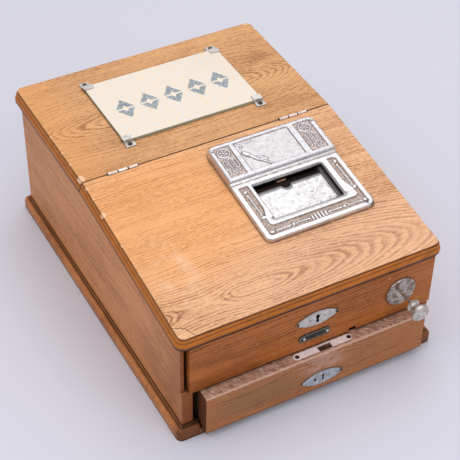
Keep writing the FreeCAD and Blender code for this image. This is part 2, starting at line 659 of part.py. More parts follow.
def drawer_box():
    """The drawer: a thick front, thinner sides and back, and a floor let in between them."""
    front = box("drawer_front_blank", ("-drawer_left", DRAWER_FACE, "drawer_low"),
                ("drawer_right", DRAWER_IN, "drawer_high"))
    middle = f"({DRAWER_FACE} + selvedge_y)"
    lock_left = "(selvedge_x + 2.5 - lock_wide / 2)"
    lock_right = "(selvedge_x + 2.5 + lock_wide / 2)"
    tools = [
        selvedge_blank("selvedge_seat", "selvedge_thick + 1"),
        box("lock_mortise", (f"{lock_left} - 0.3", f"{middle} - lock_thick / 2 - 0.2",
                             "drawer_low + 9.7"),
            (f"{lock_right} + 0.3", f"{middle} + lock_thick / 2 + 0.2", "drawer_high + 1")),
    ]
    tools += keyhole("drawer_keyhole", "drawer_key_x", "drawer_key_z", f"{DRAWER_FACE} - 1", "8")
    tools += [tack_hole(f"drawer_tack_hole_{n}", x, f"{DRAWER_FACE} - plate_thick", z)
              for n, (x, z) in enumerate(DRAWER_TACKS)]
    tools += [cylinder(f"selvedge_pilot_{n}", "z", (x, middle, "drawer_high - 9"),
                       "screw_radius", "12") for n, x in enumerate(SELVEDGE_SCREWS)]
    keep(cut("drawer_front", front, tools))
    left, right = "(-drawer_left + wall_in)", "(drawer_right - wall_in)"
    keep(box("drawer_side_left", (left, DRAWER_IN, "drawer_low"),
             (f"{left} + wall_thick", DRAWER_END, "wall_high")))
    keep(box("drawer_side_right", (f"{right} - wall_thick", DRAWER_IN, "drawer_low"),
             (right, DRAWER_END, "wall_high")))
    inner = (f"({left} + wall_thick)", f"({right} - wall_thick)")
    keep(box("drawer_back", (inner[0], f"{DRAWER_END} - wall_thick", "drawer_low + 1"),
             (inner[1], DRAWER_END, "back_high")))
    keep(box("drawer_floor", (inner[0], DRAWER_IN, "drawer_floor - floor_thick"),
             (inner[1], f"{DRAWER_END} - wall_thick", "drawer_floor")))
    return inner


def coin_tray(inner):
    """A solid wood tray with turned coin cups, and fences for notes behind it."""
    left, right = inner
    rear = f"({DRAWER_IN} + tray_deep)"
    block = box("coin_tray_blank", (f"{left} + 0.5", f"{DRAWER_IN} + 0.5", "drawer_floor"),
                (f"{right} - 0.5", rear, "tray_high"))
    cups = []
    columns, rows = 5, 2
    for column in range(columns):
        for row in range(rows):
            x = f"{left} + ({right} - {left}) * {(2 * column + 1) / (2 * columns)}"
            y = f"{DRAWER_IN} + tray_deep * {(2 * row + 1) / (2 * rows)}"
            ball = bind(add("Part::Sphere", f"cup_{column}_{row}"), Radius="cup_radius")
            cups.append(place(ball, x, y, "tray_high - cup_dish + cup_radius"))
    keep(cut("coin_tray", block, cups))
    fences = []
    for index in range(1, 4):
        x = f"({left} + ({right} - {left}) * {index / 4})"
        fences.append(box(f"note_fence_{index}",
                          (f"{x} - fence_thick / 2", rear, "drawer_floor"),
                          (f"{x} + fence_thick / 2", f"{DRAWER_END} - wall_thick", "back_high - 8")))
    keep(group("note_fences", fences))


DRAWER_TACKS = (("drawer_oval_x - 10", "drawer_oval_z"), ("drawer_oval_x + 26", "drawer_oval_z"))
SELVEDGE_SCREWS = ("selvedge_x - 34.5", "selvedge_x + 36")


def selvedge_blank(label, thick):
    """A flat strip with round ends, let into the drawer's top edge."""
    middle = f"({DRAWER_FACE} + selvedge_y)"
    low = "(drawer_high - selvedge_thick)"
    half, radius = "(selvedge_long / 2 - selvedge_wide / 2)", "(selvedge_wide / 2)"
    parts = [box(label + "_bar", (f"selvedge_x - {half}", f"{middle} - {radius}", low),
                 (f"selvedge_x + {half}", f"{middle} + {radius}", f"{low} + {thick}"))]
    for n, s in enumerate((-1, 1)):
        parts.append(cylinder(f"{label}_end_{n}", "z", (f"selvedge_x + {s} * {half}", middle, low),
                              radius, thick))
    return fuse(label, parts)


def drawer_lock():
    """A lock let into the drawer front: its strip, its case and its rising bolt."""
    middle = f"({DRAWER_FACE} + selvedge_y)"
    centre = "(selvedge_x + 2.5)"
    low, high = "(drawer_low + 10)", "(drawer_high - selvedge_thick)"
    shell = box("drawer_lock_shell", (f"{centre} - lock_wide / 2", f"{middle} - lock_thick / 2",
                                      low),
                (f"{centre} + lock_wide / 2", f"{middle} + lock_thick / 2", high))
    hollow = box("drawer_lock_hollow",
                 (f"{centre} - lock_wide / 2 + lock_wall",
                  f"{middle} - lock_thick / 2 + lock_wall", f"{low} + lock_wall"),
                 (f"{centre} + lock_wide / 2 - lock_wall",
                  f"{middle} + lock_thick / 2 - lock_wall", f"{high} + 1"))
    key = cylinder("drawer_lock_key", "y", ("drawer_key_x", f"{middle} - lock_thick",
                                            "drawer_key_z"), "key_radius + 1.5", "lock_thick")
    keep(cut("drawer_lock_case", shell, [hollow, key]))
    bolt = ((f"{centre} - bolt_wide / 2", f"{middle} - bolt_thick / 2", "drawer_high - 26"),
            (f"{centre} + bolt_wide / 2", f"{middle} + bolt_thick / 2", "drawer_high - 0.4"))
    slot = box("selvedge_slot", (f"{bolt[0][0]} - 0.5", f"{middle} - selvedge_wide",
                                 "drawer_high - 9"),
               [f"{edge} + 0.5" for edge in bolt[1][:2]] + ["drawer_high + 1"])
    seat = "(drawer_high - screw_cap)"
    holes = [cylinder(f"selvedge_hole_{n}", "z", (x, middle, "drawer_high - 9"),
                      "screw_radius", "12") for n, x in enumerate(SELVEDGE_SCREWS)]
    holes += [cylinder(f"selvedge_sink_{n}", "z", (x, middle, seat), "screw_head", "2")
              for n, x in enumerate(SELVEDGE_SCREWS)]
    keep(cut("lock_strip", selvedge_blank("lock_strip_blank", "selvedge_thick"), [slot] + holes))
    keep(group("strip_screws", [screw(f"strip_screw_{n}", x, middle, seat)
                                for n, x in enumerate(SELVEDGE_SCREWS)]))
    step = box("bolt_step", (f"{centre} - bolt_wide", f"{middle} - bolt_thick",
                             "drawer_high - bolt_step"),
               (f"{centre} + bolt_wide", f"{middle} + 0.2", "drawer_high + 1"))
    keep(cut("drawer_bolt", box("drawer_bolt_blank", *bolt), [step]))


def drawer_trim():
    """The drawer's escutcheon, one tip of which has broken off, and its pins."""
    oval = oval_plate("drawer_escutcheon", "drawer_oval_x", "drawer_oval_z", DRAWER_FACE)
    holes = keyhole("drawer_oval_key", "drawer_key_x", "drawer_key_z", f"{DRAWER_FACE} - 3", "6")
    holes.append(box("drawer_oval_break",
                     ("drawer_oval_x - oval_half - 2", f"{DRAWER_FACE} - 4", "drawer_oval_z - 12"),
                     ("drawer_oval_x - oval_cut + 1.2", f"{DRAWER_FACE} + 1",
                      "drawer_oval_z + 12")))
    holes += [tack_hole(f"drawer_oval_tack_{n}", x, f"{DRAWER_FACE} - plate_thick", z)
              for n, (x, z) in enumerate(DRAWER_TACKS)]
    keep(cut("drawer_escutcheon", oval, holes))
    keep(group("drawer_tacks", [tack(f"drawer_tack_{n}", x, f"{DRAWER_FACE} - plate_thick", z)
                                for n, (x, z) in enumerate(DRAWER_TACKS)]))
    left, right = "(catch_x - 8)", "(catch_x + 8)"
    flange = box("keeper_flange", (left, DRAWER_IN, "52"), (right, f"{DRAWER_IN} + 1.4", "67.5"))
    shelf = box("keeper_shelf", (left, DRAWER_IN, "65.5"), (right, f"{DRAWER_IN} + 11", "67.5"))
    slot = box("keeper_slot", ("catch_x - catch_wide / 2 - 1", f"{DRAWER_IN} + 3.2", "60"),
               ("catch_x + catch_wide / 2 + 1", f"{DRAWER_IN} + 9", "70"))
    keep(cut("drawer_keeper", fuse("keeper_blank", [flange, shelf]), [slot]))


def drawer_fittings():
    """Two stop blocks on the case floor and the bowed spring that kicks the drawer open."""
    blocks = []
    for name, sign in SIDES:
        left, right = mirrored(sign, "100", "122")
        blocks.append(box(f"drawer_stop_{name}", (left, "drawer_end + 0.3", "bottom_high"),
                          (right, BACK_FACE, "bottom_high + 22")))
    keep(group("drawer_stops", blocks))
    radius = "((spring_span ^ 2 + spring_rise ^ 2) / (2 * spring_rise))"
    centre = ("0", f"{BACK_FACE} - spring_rise + {radius}", "bottom_high + 20")
    ring = cut("spring_ring", cylinder("spring_outer", "z", centre, radius, "14"),
               [cylinder("spring_inner", "z", centre, f"{radius} - spring_thick", "14")])
    half = box("spring_reach", ("-spring_span", f"{BACK_FACE} - spring_rise - 2", "bottom_high"),
               ("spring_span", BACK_FACE, "60"))
    keep(common("drawer_spring", ring, half))


# ---------------------------------------------------------------- plunger and bell

def facing_front(item, x, y, z):
    """Turn a piece so that its local +Z points to the front."""
    return place(item, x, y, z, X_AXIS, "90")


def plunger():
    """The knob on its rod, with a collar for the spring and a crosshead that drives the works."""
    rosette = turned("knob_rosette", [
        ("rod_bore", "0"), ("rosette_radius", "0"), ("rosette_radius", "1.4"),
        ("rosette_radius - 2.5", "rosette_thick"), ("rosette_radius - 6", "rosette_thick - 0.5"),
        ("9", "rosette_thick - 1.6"), ("6.5", "rosette_thick - 1.2"),
        ("5.5", "rosette_thick"), ("rod_bore", "rosette_thick")])
    keep(facing_front(rosette, "rod_x", PANEL_FACE, "rod_z"))
    knob = turned("plunger_knob", [
        ("rod_radius", "0"), ("7.2", "0"), ("8", "0.8"), ("8", "2.2"), ("6", "3.4"),
        ("5", "6"), ("5.4", "9.5"), ("8", "12.6"), ("knob_radius - 0.6", "13.6"),
        ("knob_radius", "14.6"), ("knob_radius", "17"), ("knob_radius - 0.8", "knob_long"),
        ("0", "knob_long"), ("0", "14"), ("rod_radius", "14")])
    keep(facing_front(knob, "rod_x", f"{FRONT} - knob_rear", "rod_z"))
    rod = cylinder("rod_bar", "y", ("rod_x", f"{FRONT} - knob_rear - 14", "rod_z"), "rod_radius",
                   "pusher_y + knob_rear + 14")
    collar = cylinder("rod_collar", "y", ("rod_x", f"{FRONT} + collar_y", "rod_z"),
                      "collar_radius", "collar_thick")
    pusher = box("rod_pusher", ("rod_x - 9.5", f"{PUSHER_REAR} - pusher_thick", "rod_z - 5"),
                 ("rod_x + 14.5", PUSHER_REAR, "rod_z + 5"))
    keep(fuse("plunger_rod", [rod, collar, pusher]))
    start = f"({FRONT} + collar_y + collar_thick + coil_wire)"
    run = f"(guide_y - collar_y - collar_thick - 2 * coil_wire)"
    coil = bind(add("Part::Helix", "coil_path"), Pitch="coil_pitch", Height=run,
                Radius="coil_radius")
    wire = place(bind(add("Part::Circle", "coil_wire_section"), Radius="coil_wire"),
                 "coil_radius", "0", "0", X_AXIS, "90")
    spring = add("Part::Sweep", "plunger_spring")
    spring.Sections = [wire]
    spring.Spine = (coil, ["Edge1"])
    spring.Solid = True
    spring.Frenet = True
    keep(place(spring, "rod_x", start, "rod_z", X_AXIS, "-90"))
    guide = box("guide_blank", ("rod_x - 9", f"{FRONT} + guide_y", DIVIDER_TOP),
                ("rod_x + 9", f"{FRONT} + guide_y + guide_thick", "rod_z + 10"))
    bore = cylinder("guide_bore", "y", ("rod_x", f"{FRONT} + guide_y - 1", "rod_z"), "rod_bore",
                    "guide_thick + 2")
    keep(cut("plunger_guide", guide, [bore]))


def bell():
    """A gong on the right side board, and the hammer that the crosshead swings against it."""
    sphere = "((gong_radius ^ 2 + gong_deep ^ 2) / (2 * gong_deep))"
    cap = bind(add("Part::Sphere", "gong_cap"), Radius=sphere,
               Angle1=f"asin(({sphere} - gong_deep) / {sphere})")
    inner = bind(add("Part::Sphere", "gong_inner"), Radius=f"{sphere} - gong_wall")
    bore = cylinder("gong_bore", "z", ("0", "0", "0"), "2.05", "60")
    gong = cut("gong", cap, [inner, bore])
    rim = f"({INNER} - 1.5)"
    keep(place(gong, f"{rim} + {sphere} - gong_deep", "-gong_y", "gong_z", Y_AXIS, "-90"))
    stud = cylinder("gong_stud", "x", (f"{rim} - gong_deep - 4", "-gong_y", "gong_z"), "2",
                    "gong_deep + 5.5")
    nut = cylinder("gong_nut", "x", (f"{rim} - gong_deep - 4", "-gong_y", "gong_z"), "4", "3.6")
    axle = cylinder("hammer_axle", "x", ("rod_x + 7", "-hammer_y", "hammer_z"),
                    "journal_radius", f"{INNER} - rod_x - 7")
    boss = cylinder("hammer_boss", "x", ("rod_x + 13", "-hammer_y", "hammer_z"), "4",
                    f"{INNER} - rod_x - 13")
    keep(group("bell_studs", [fuse("gong_screw", [stud, nut]), fuse("hammer_stud", [axle, boss])]))
    lever = box("hammer_lever", ("rod_x + 10", "-4", "-hammer_reach"), ("rod_x + 12.5", "4", "0"))
    eye = cylinder("hammer_eye", "x", ("rod_x + 10", "0", "0"), "5", "2.5")
    neck = cylinder("hammer_neck", "x", ("rod_x + 10", "0", "-hammer_reach"), "1.5", "15")
    ball = place(bind(add("Part::Sphere", "hammer_head"), Radius="hammer_ball"),
                 "rod_x + 25", "0", "-hammer_reach")
    bore = cylinder("hammer_bore", "x", ("rod_x + 9", "0", "0"), "journal_bore", "5")
    hammer = cut("bell_hammer", fuse("hammer_blank", [lever, eye, neck, ball]), [bore])
    keep(place(hammer, "0", "-hammer_y", "hammer_z", X_AXIS, "-hammer_angle"))


# ---------------------------------------------------------------- paper mechanism

def feed_axis():
    """Where the feed roller's axis lies under the lid's cut-out."""
    y = "(hinge_y - feed_run * cos(lid_slope) + feed_drop * sin(lid_slope))"
    z = "(top_height - feed_run * sin(lid_slope) - feed_drop * cos(lid_slope))"
    return y, z


def spool(label, y, z, roller, extra):
    """A roller on a steel spindle that runs in both cheeks."""
    left = "(cheek_left - 2)"
    reach = f"(cheek_right + cheek_thick + {extra} - {left})"
    spindle = cylinder(label + "_spindle", "x", (left, y, z), "journal_radius", reach)
    return fuse(label, [spindle] + roller)


def paper_works():
    """Two cheeks carry the writing plate, the feed roller and the two paper spools."""
    feed_y, feed_z = feed_axis()
    inner = ("cheek_left + cheek_thick", "cheek_right")
    front, rear = "(-cheek_front)", "(-cheek_rear)"
    step = "(-cheek_front + 30)"
    points = [
        (front, DIVIDER_TOP), (rear, DIVIDER_TOP), (rear, f"{lid_top(rear)} - 4"),
        (step, f"{lid_top(step)} - 4"), (step, f"{lid_under(step)} - 5"),
        (front, f"{lid_under(front)} - 5"),
    ]
    holes = [cylinder(f"cheek_hole_{n}", "x", ("0", y, z), radius, "120") for n, (y, z, radius) in
             enumerate(((feed_y, feed_z, "journal_bore"),
                        ("-supply_y", "supply_z", "journal_bore"),
                        ("-takeup_y", "takeup_z", "journal_bore"),
                        ("-148", "84", "1.6"), ("-58", "84", "1.6")))]
    cheeks = []
    for name, left in (("left", "cheek_left"), ("right", "cheek_right")):
        blank = side_prism(f"cheek_{name}_blank", points, left, f"{left} + cheek_thick")
        cheeks.append(cut(f"cheek_{name}", blank, holes))
    keep(group("paper_cheeks", cheeks))
    rods = [cylinder(f"tie_rod_{n}", "x", ("cheek_left", y, "84"), "1.6",
                     "cheek_right + cheek_thick - cheek_left") for n, y in
            enumerate(("-148", "-58"))]
    keep(group("paper_tie_rods", rods))
    top, under = "(-plate_drop)", "(-plate_drop - sheet_thick)"
    plate = side_prism("writing_plate_blank", [
        ("-plate_front", "-7"), ("-plate_front + sheet_thick", "-7"),
        ("-plate_front + sheet_thick", under), ("-plate_rear - sheet_thick", under),
        ("-plate_rear - sheet_thick", "-7"), ("-plate_rear", "-7"),
        ("-plate_rear", top), ("-plate_front", top)], *inner)
    thumb = cylinder("thumb_notch", "z", ("thumb_x", "-plate_rear", "-12"), "thumb_radius", "14")
    keep(on_lid(cut("writing_plate", plate, [thumb])))
    wheel = cylinder("feed_wheel", "x", ("thumb_x - feed_wide / 2", feed_y, feed_z),
                     "feed_radius", "feed_wide")
    keep(spool("feed_roller", feed_y, feed_z, [wheel], "1"))
    core_run = "cheek_right - cheek_left - cheek_thick - 1"
    cores = {}
    for name, y, z in (("supply", "-supply_y", "supply_z"), ("takeup", "-takeup_y", "takeup_z")):
        cores[name] = cylinder(f"{name}_core", "x", (f"{inner[0]} + 0.5", y, z), "spool_radius",
                               core_run)
    keep(spool("supply_spool", "-supply_y", "supply_z", [cores["supply"]], "1"))
    keep(spool("takeup_spool", "-takeup_y", "takeup_z", [cores["takeup"], ratchet_wheel()], "7"))
    keep(ratchet_arm())


def ratchet_wheel():
    """A toothed wheel outside the right cheek, one tooth of it a pointed step."""
    teeth = int(DIMS["tooth_count"])
    points = []
    for index in range(teeth):
        for radius, share in (("ratchet_root", 0), ("ratchet_radius", 0.85)):
            angle = 360 * (index + share) / teeth
            points.append((f"-takeup_y + {radius} * cos({angle})",
                           f"takeup_z + {radius} * sin({angle})"))
    start = "(cheek_right + cheek_thick + 0.5)"
    return side_prism("ratchet_wheel", points, start, f"{start} + 2.5")


def ratchet_arm():
    """The arm that the crosshead swings; its pawl rides just outside the ratchet's teeth."""
    left = "(cheek_right + cheek_thick + 3.5)"
    right = f"({left} + 2)"
    web = box("arm_web", (left, "-4", "-arm_reach"), (right, "4", "0"))
    eye = cylinder("arm_eye", "x", (left, "0", "0"), "6", "2")
    foot = cylinder("arm_foot", "x", (left, "0", "-arm_reach"), "arm_pin + 1", "2")
    pin = cylinder("arm_drive_pin", "x", (left, "0", "-arm_reach"), "arm_pin",
                   f"rod_x - 2 - {left}")
    pawl = box("arm_pawl", (f"{left} - 2.6", "-2", "-ratchet_radius - 5"),
               (left, "2", "-ratchet_radius - 0.6"))
    bore = cylinder("arm_bore", "x", (f"{left} - 1", "0", "0"), "journal_bore", "4")
    arm = cut("ratchet_arm", fuse("arm_blank", [web, eye, foot, pin, pawl]), [bore])
    return place(arm, "0", "-takeup_y", "takeup_z", X_AXIS, "-arm_angle")


# ---------------------------------------------------------------- drawer catch

def drawer_catch():
    """A nose that drops through the divider behind a keeper on the drawer front."""
    nose, heel = f"({FRONT} + 17)", f"({FRONT} + 21)"
    pivot = f"({FRONT} + catch_y)"
    points = [(nose, "panel_low + 0.6"), (heel, "panel_low + 0.6"), (heel, "catch_z - 3.4"),
              (f"{pivot}", "catch_z - 4"), (f"{pivot} + 4", "catch_z"),
              (f"{pivot}", "catch_z + 4"), (nose, "catch_z + 2")]
    lever = side_prism("catch_blank", points, "catch_x - catch_wide / 2",
                       "catch_x + catch_wide / 2")
    bore = cylinder("catch_bore", "x", ("catch_x - 5", pivot, "catch_z"), "journal_bore", "10")
    keep(cut("drawer_catch", lever, [bore]))
    ears = []
    for n, (left, right) in enumerate((("-5", "-3"), ("3", "5"))):
        ears.append(box(f"catch_ear_{n}", (f"catch_x + {left}", f"{pivot} - 5", DIVIDER_TOP),
                        (f"catch_x + {right}", f"{pivot} + 6", "catch_z + 5")))
    foot = box("catch_foot", ("catch_x - 5", f"{pivot} - 5", DIVIDER_TOP),
               ("catch_x + 5", f"{pivot} + 6", f"{DIVIDER_TOP} + 1.5"))
    pin = cylinder("catch_pin", "x", ("catch_x - 5", pivot, "catch_z"), "journal_radius", "10")
    keep(fuse("catch_bracket", ears + [foot, pin]))


# ---------------------------------------------------------------- sign

def clip_places():
    """The four corners of the sign plate, as (name, x sign, y sign)."""
    return [(f"{row}_{name}", sign, side) for row, side in (("front", -1), ("rear", 1))
            for name, sign in SIDES]


def clip_screw_places():
    """Screw centres just outside the plate's front and rear edges."""
    return [(f"sign_x + {sign} * (sign_wide / 2 - clip_wide / 2 + 1.5)",
             f"sign_y + {side} * (sign_deep / 2 + clip_foot / 2 + 0.6)")
            for _, sign, side in clip_places()]


def sign():
    """A plate on the top board, held by a stepped metal clip and a screw at each corner."""
    plate = body("sign_plate")
    profile = rectangle(sketch(plate, "XY_Plane"), "-sign_wide / 2", "-sign_deep / 2",
                        "sign_wide / 2", "sign_deep / 2")
    fillet(plate, pad(plate, profile, "sign_thick"), upright, "3")
    keep(place(plate, "sign_x", "sign_y", "top_height"))
    clips, screws = [], []
    for (name, x_sign, y_sign), (x, y) in zip(clip_places(), clip_screw_places()):
        edge = "(sign_deep / 2)"
        points = [
            (f"{edge} - clip_lap", "sign_thick"), (edge, "sign_thick"), (edge, "0"),
            (f"{edge} + clip_foot", "0"), (f"{edge} + clip_foot", "clip_thick"),
            (f"{edge} + clip_thick", "clip_thick"),
            (f"{edge} + clip_thick", "sign_thick + clip_thick"),
            (f"{edge} - clip_lap", "sign_thick + clip_thick")]
        points = [(f"sign_y + {y_sign} * ({u})", f"top_height + {v}") for u, v in points]
        strip = side_prism(f"clip_{name}_blank", points, f"{x} - clip_wide / 2",
                           f"{x} + clip_wide / 2")
        hole = screw_hole(f"clip_{name}_hole", x, y, "top_height")
        clips.append(cut(f"clip_{name}", strip, [hole]))
        screws.append(screw(f"sign_screw_{name}", x, y, "top_height + clip_thick"))
    keep(group("sign_clips", clips))
    keep(group("sign_screws", screws))


# ---------------------------------------------------------------- build, check and export

case_sides()
case_boards()
base_mouldings()
top_board()
hinge_set()
lid_board()
window_casting()
front_panel()
lid_lock()
coin_tray(drawer_box())
drawer_lock()
drawer_trim()
drawer_fittings()
plunger()
bell()
paper_works()
drawer_catch()
sign()

doc.recompute()
for item in doc.Objects:
    if "Invalid" in item.State or "Error" in item.State:
        raise RuntimeError(f"{item.Label} failed: {item.State}")
os.makedirs("parts", exist_ok=True)
for node in NODES:
    shape = node.Shape
    if shape.isNull() or not shape.isValid() or not shape.Solids:
        raise RuntimeError(f"{node.Label} has no valid solid")
    shape.exportStep(f"parts/{node.Label}.step")
    low, high = shape.BoundBox, shape.BoundBox
    print(f"{node.Label:22s} solids {len(shape.Solids)} volume {shape.Volume:10.1f} "
          f"x {low.XMin:7.1f} {high.XMax:7.1f} y {low.YMin:7.1f} {high.YMax:7.1f} "
          f"z {low.ZMin:6.1f} {high.ZMax:6.1f}")
print(len(NODES), "nodes")
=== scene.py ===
# %% [markdown]
# # An antique wooden counter till
#
# This notebook dresses a finished CAD model of an oak till: its boards, its cast window, its
# plated fittings and the works inside. The CAD solids are the frame. They keep their places, and
# each cell here gives one of them a finish, or builds a finer piece over it.

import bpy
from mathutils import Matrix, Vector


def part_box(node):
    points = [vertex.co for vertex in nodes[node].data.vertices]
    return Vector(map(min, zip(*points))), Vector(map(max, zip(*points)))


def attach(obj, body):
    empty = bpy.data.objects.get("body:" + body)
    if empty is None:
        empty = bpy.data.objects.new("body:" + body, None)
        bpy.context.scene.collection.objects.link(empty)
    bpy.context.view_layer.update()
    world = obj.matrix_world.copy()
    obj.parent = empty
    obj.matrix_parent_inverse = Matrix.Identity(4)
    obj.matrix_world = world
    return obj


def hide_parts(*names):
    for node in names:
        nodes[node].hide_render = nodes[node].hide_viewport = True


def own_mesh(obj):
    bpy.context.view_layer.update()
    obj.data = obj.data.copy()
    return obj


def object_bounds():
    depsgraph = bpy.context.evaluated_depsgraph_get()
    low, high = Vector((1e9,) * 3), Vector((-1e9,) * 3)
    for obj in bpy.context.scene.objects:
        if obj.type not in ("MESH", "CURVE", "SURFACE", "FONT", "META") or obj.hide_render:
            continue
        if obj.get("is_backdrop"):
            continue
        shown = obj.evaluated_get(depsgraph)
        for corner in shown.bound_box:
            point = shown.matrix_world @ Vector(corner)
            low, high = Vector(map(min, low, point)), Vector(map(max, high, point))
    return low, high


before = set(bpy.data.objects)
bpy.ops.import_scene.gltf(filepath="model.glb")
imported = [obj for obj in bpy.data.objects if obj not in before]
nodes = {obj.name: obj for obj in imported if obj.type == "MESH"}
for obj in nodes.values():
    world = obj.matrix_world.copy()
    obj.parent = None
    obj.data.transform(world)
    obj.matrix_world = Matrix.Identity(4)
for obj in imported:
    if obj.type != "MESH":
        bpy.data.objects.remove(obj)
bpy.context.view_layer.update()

# %% Libraries and units
import math

import bmesh
import bpy
import numpy as np
from mathutils import Matrix, Vector

MM = 0.001

# %% [markdown]
# ## Camera
#
# A long lens from high on the left keeps the sides nearly parallel, as a catalogue picture does.
# Blender's camera looks down its own -Z axis, so its rotation is built from three axes: right,
# up and back. A small roll and a small shift finish the framing.

# %% Place the camera
AZIMUTH, ELEVATION, ROLL = math.radians(-29.77), math.radians(41.98), math.radians(1.59)
LENS_PIXELS, PICTURE_PIXELS, SENSOR = 1359.85, 460, 36.0
CAMERA_PLACE, SIDE_SHIFT, FAR_LIMIT = (-0.6162, -1.1345, 1.2312), -0.0217, 20


def new_object(name, data):
    """An object of the scene that shows some data."""
    made = bpy.data.objects.new(name, data)
    bpy.context.scene.collection.objects.link(made)
    return made


def aim_axes(azimuth, elevation, roll):
    """Right, up and back axes of a camera that looks at the till."""
    back = Vector((math.sin(azimuth) * math.cos(elevation),
                   -math.cos(azimuth) * math.cos(elevation), math.sin(elevation)))
    right = (-back).cross(Vector((0, 0, 1))).normalized()
    up = right.cross(-back)
    return (right * math.cos(roll) + up * math.sin(roll),
            up * math.cos(roll) - right * math.sin(roll), back)


camera_data = bpy.data.cameras.new("camera")
camera_data.sensor_width = SENSOR
camera_data.lens = LENS_PIXELS / PICTURE_PIXELS * SENSOR
camera_data.shift_x = SIDE_SHIFT
camera_data.clip_end = FAR_LIMIT
camera = new_object("camera", camera_data)
camera.matrix_world = (Matrix.Translation(CAMERA_PLACE)
                       @ Matrix(aim_axes(AZIMUTH, ELEVATION, ROLL)).transposed().to_4x4())
bpy.context.scene.camera = camera
print("lens", round(camera_data.lens, 1), "mm")

# %% [markdown]
# ## A short way to write shader nodes
#
# A material is a graph. Naming every link by hand makes long, dull code, so small helpers do it.
# One adds a node and fills its sockets; the others do a sum, stretch a range, mix two colours,
# take a point apart or make noise. A socket is given either a plain value or another node's
# output.

# %% Node helpers
def feed(tree, node, inputs):
    """Fill or link inputs of a node."""
    for key, value in inputs.items():
        if isinstance(value, bpy.types.NodeSocket):
            tree.links.new(value, node.inputs[key])
        else:
            node.inputs[key].default_value = value


def add(tree, kind, inputs=None, **settings):
    """Add a shader node, set its properties and fill or link its inputs."""
    node = tree.nodes.new("ShaderNode" + kind)
    for key, value in settings.items():
        setattr(node, key, value)
    feed(tree, node, inputs or {})
    return node


def calc(tree, operation, first, second=0.0, third=0.0, clamp=False):
    """The output of a Math node."""
    return add(tree, "Math", {0: first, 1: second, 2: third}, operation=operation,
               use_clamp=clamp).outputs[0]


def remap(tree, value, low, high, new_low=0.0, new_high=1.0):
    """Smoothly turn one range of values into another, and stop at its ends."""
    return add(tree, "MapRange", {0: value, 1: low, 2: high, 3: new_low, 4: new_high},
               interpolation_type="SMOOTHSTEP").outputs[0]


def mix(tree, amount, first, second, mode="MIX"):
    """Mix two colours."""
    return add(tree, "Mix", {0: amount, 6: first, 7: second}, data_type="RGBA",
               blend_type=mode).outputs[2]


def rgb(red, green, blue):
    """A colour written as on a screen, 0 to 255, for a shader."""
    def linear(part):
        """One part of the colour as an amount of light."""
        share = part / 255
        return share / 12.92 if share <= 0.04045 else ((share + 0.055) / 1.055) ** 2.4
    return (linear(red), linear(green), linear(blue), 1.0)


print("one oak colour as a shader takes it:", [round(v, 3) for v in rgb(222, 163, 103)[:3]])

# %% Point and noise helpers
def split(tree, vector):
    """The X, Y and Z of a vector."""
    return add(tree, "SeparateXYZ", {0: vector}).outputs


def scaled(tree, vector, factors):
    """A vector with each part multiplied by its own factor; a factor of 0 flattens it."""
    return add(tree, "VectorMath", {0: vector, 1: factors}, operation="MULTIPLY").outputs[0]


def noise(tree, point, scale, stretch=(1, 1, 1), detail=2.0, rough=0.5):
    """A cloud of values from 0 to 1, stretched along the axes."""
    return add(tree, "TexNoise", {"Vector": scaled(tree, point, stretch), "Scale": scale,
                                  "Detail": detail, "Roughness": rough}).outputs["Fac"]


def patches(tree, point, levels, scale, *cloud, **more):
    """Noise cut between two levels, as patches with soft edges."""
    return remap(tree, noise(tree, point, scale, *cloud, **more), *levels)


def swing(tree, point, scale, **cloud):
    """Noise that swings about 0."""
    return calc(tree, "SUBTRACT", noise(tree, point, scale, **cloud), 0.5)


def times(tree, *values):
    """The product of several values."""
    product = values[0]
    for value in values[1:]:
        product = calc(tree, "MULTIPLY", product, value)
    return product


def any_of(tree, *masks):
    """The largest of several masks."""
    most = masks[0]
    for mask in masks[1:]:
        most = calc(tree, "MAXIMUM", most, mask)
    return most


print("helpers:", ", ".join(made.__name__ for made in (
    split, scaled, noise, patches, swing, times, any_of)))

# %% [markdown]
# ## Light
#
# Soft light shows wood best, so four large lamps share the work and none is strong. One hangs
# overhead, one stands at the left for the side, and a weaker one in front keeps the floor there
# from going dark. The fourth stands behind on the right, where the lid mirrors it to the camera;
# it gives the plated metal its sheen. The world fills the rest, and is brighter overhead than at
# the horizon.

# %% Light the till
bpy.context.scene.view_settings.view_transform = "Standard"
MIDDLE = (0, -0.05, 0.15)
LAMPS = (("overhead_lamp", (0, 0, 2.2), MIDDLE, 1.6, 8.5),
         ("left_lamp", (-1.4, -0.2, 1.8), MIDDLE, 1.4, 8),
         ("front_lamp", (0.3, -1.7, 1.6), MIDDLE, 1.5, 9),
         ("sheen_lamp", (0.76, 0.82, 1.75), (0.05, -0.1, 0.18), 1.5, 6.5))

for name, place, aim, size, watts in LAMPS:
    lamp_data = bpy.data.lights.new(name, "AREA")
    lamp_data.shape, lamp_data.size, lamp_data.energy = "SQUARE", size, watts
    lamp = new_object(name, lamp_data)
    lamp.location = place
    lamp.rotation_euler = (Vector(aim) - Vector(place)).to_track_quat("-Z", "Y").to_euler()
print(len(LAMPS), "soft lamps stand round the till")

# %% Light the sky
HORIZON, OVERHEAD, SKY_STRENGTH = rgb(168, 168, 174), rgb(240, 240, 243), 0.8

world = bpy.data.worlds.new("studio")
bpy.context.scene.world = world
world.use_nodes = True
tree = world.node_tree
tree.nodes.clear()
height = split(tree, add(tree, "TexCoord").outputs["Generated"])["Z"]
sky = mix(tree, remap(tree, height, -0.1, 0.9), HORIZON, OVERHEAD)
backdrop = add(tree, "Background", {"Color": sky, "Strength": SKY_STRENGTH})
tree.links.new(backdrop.outputs[0], add(tree, "OutputWorld").inputs[0])
print("the sky shines at a strength of", SKY_STRENGTH)

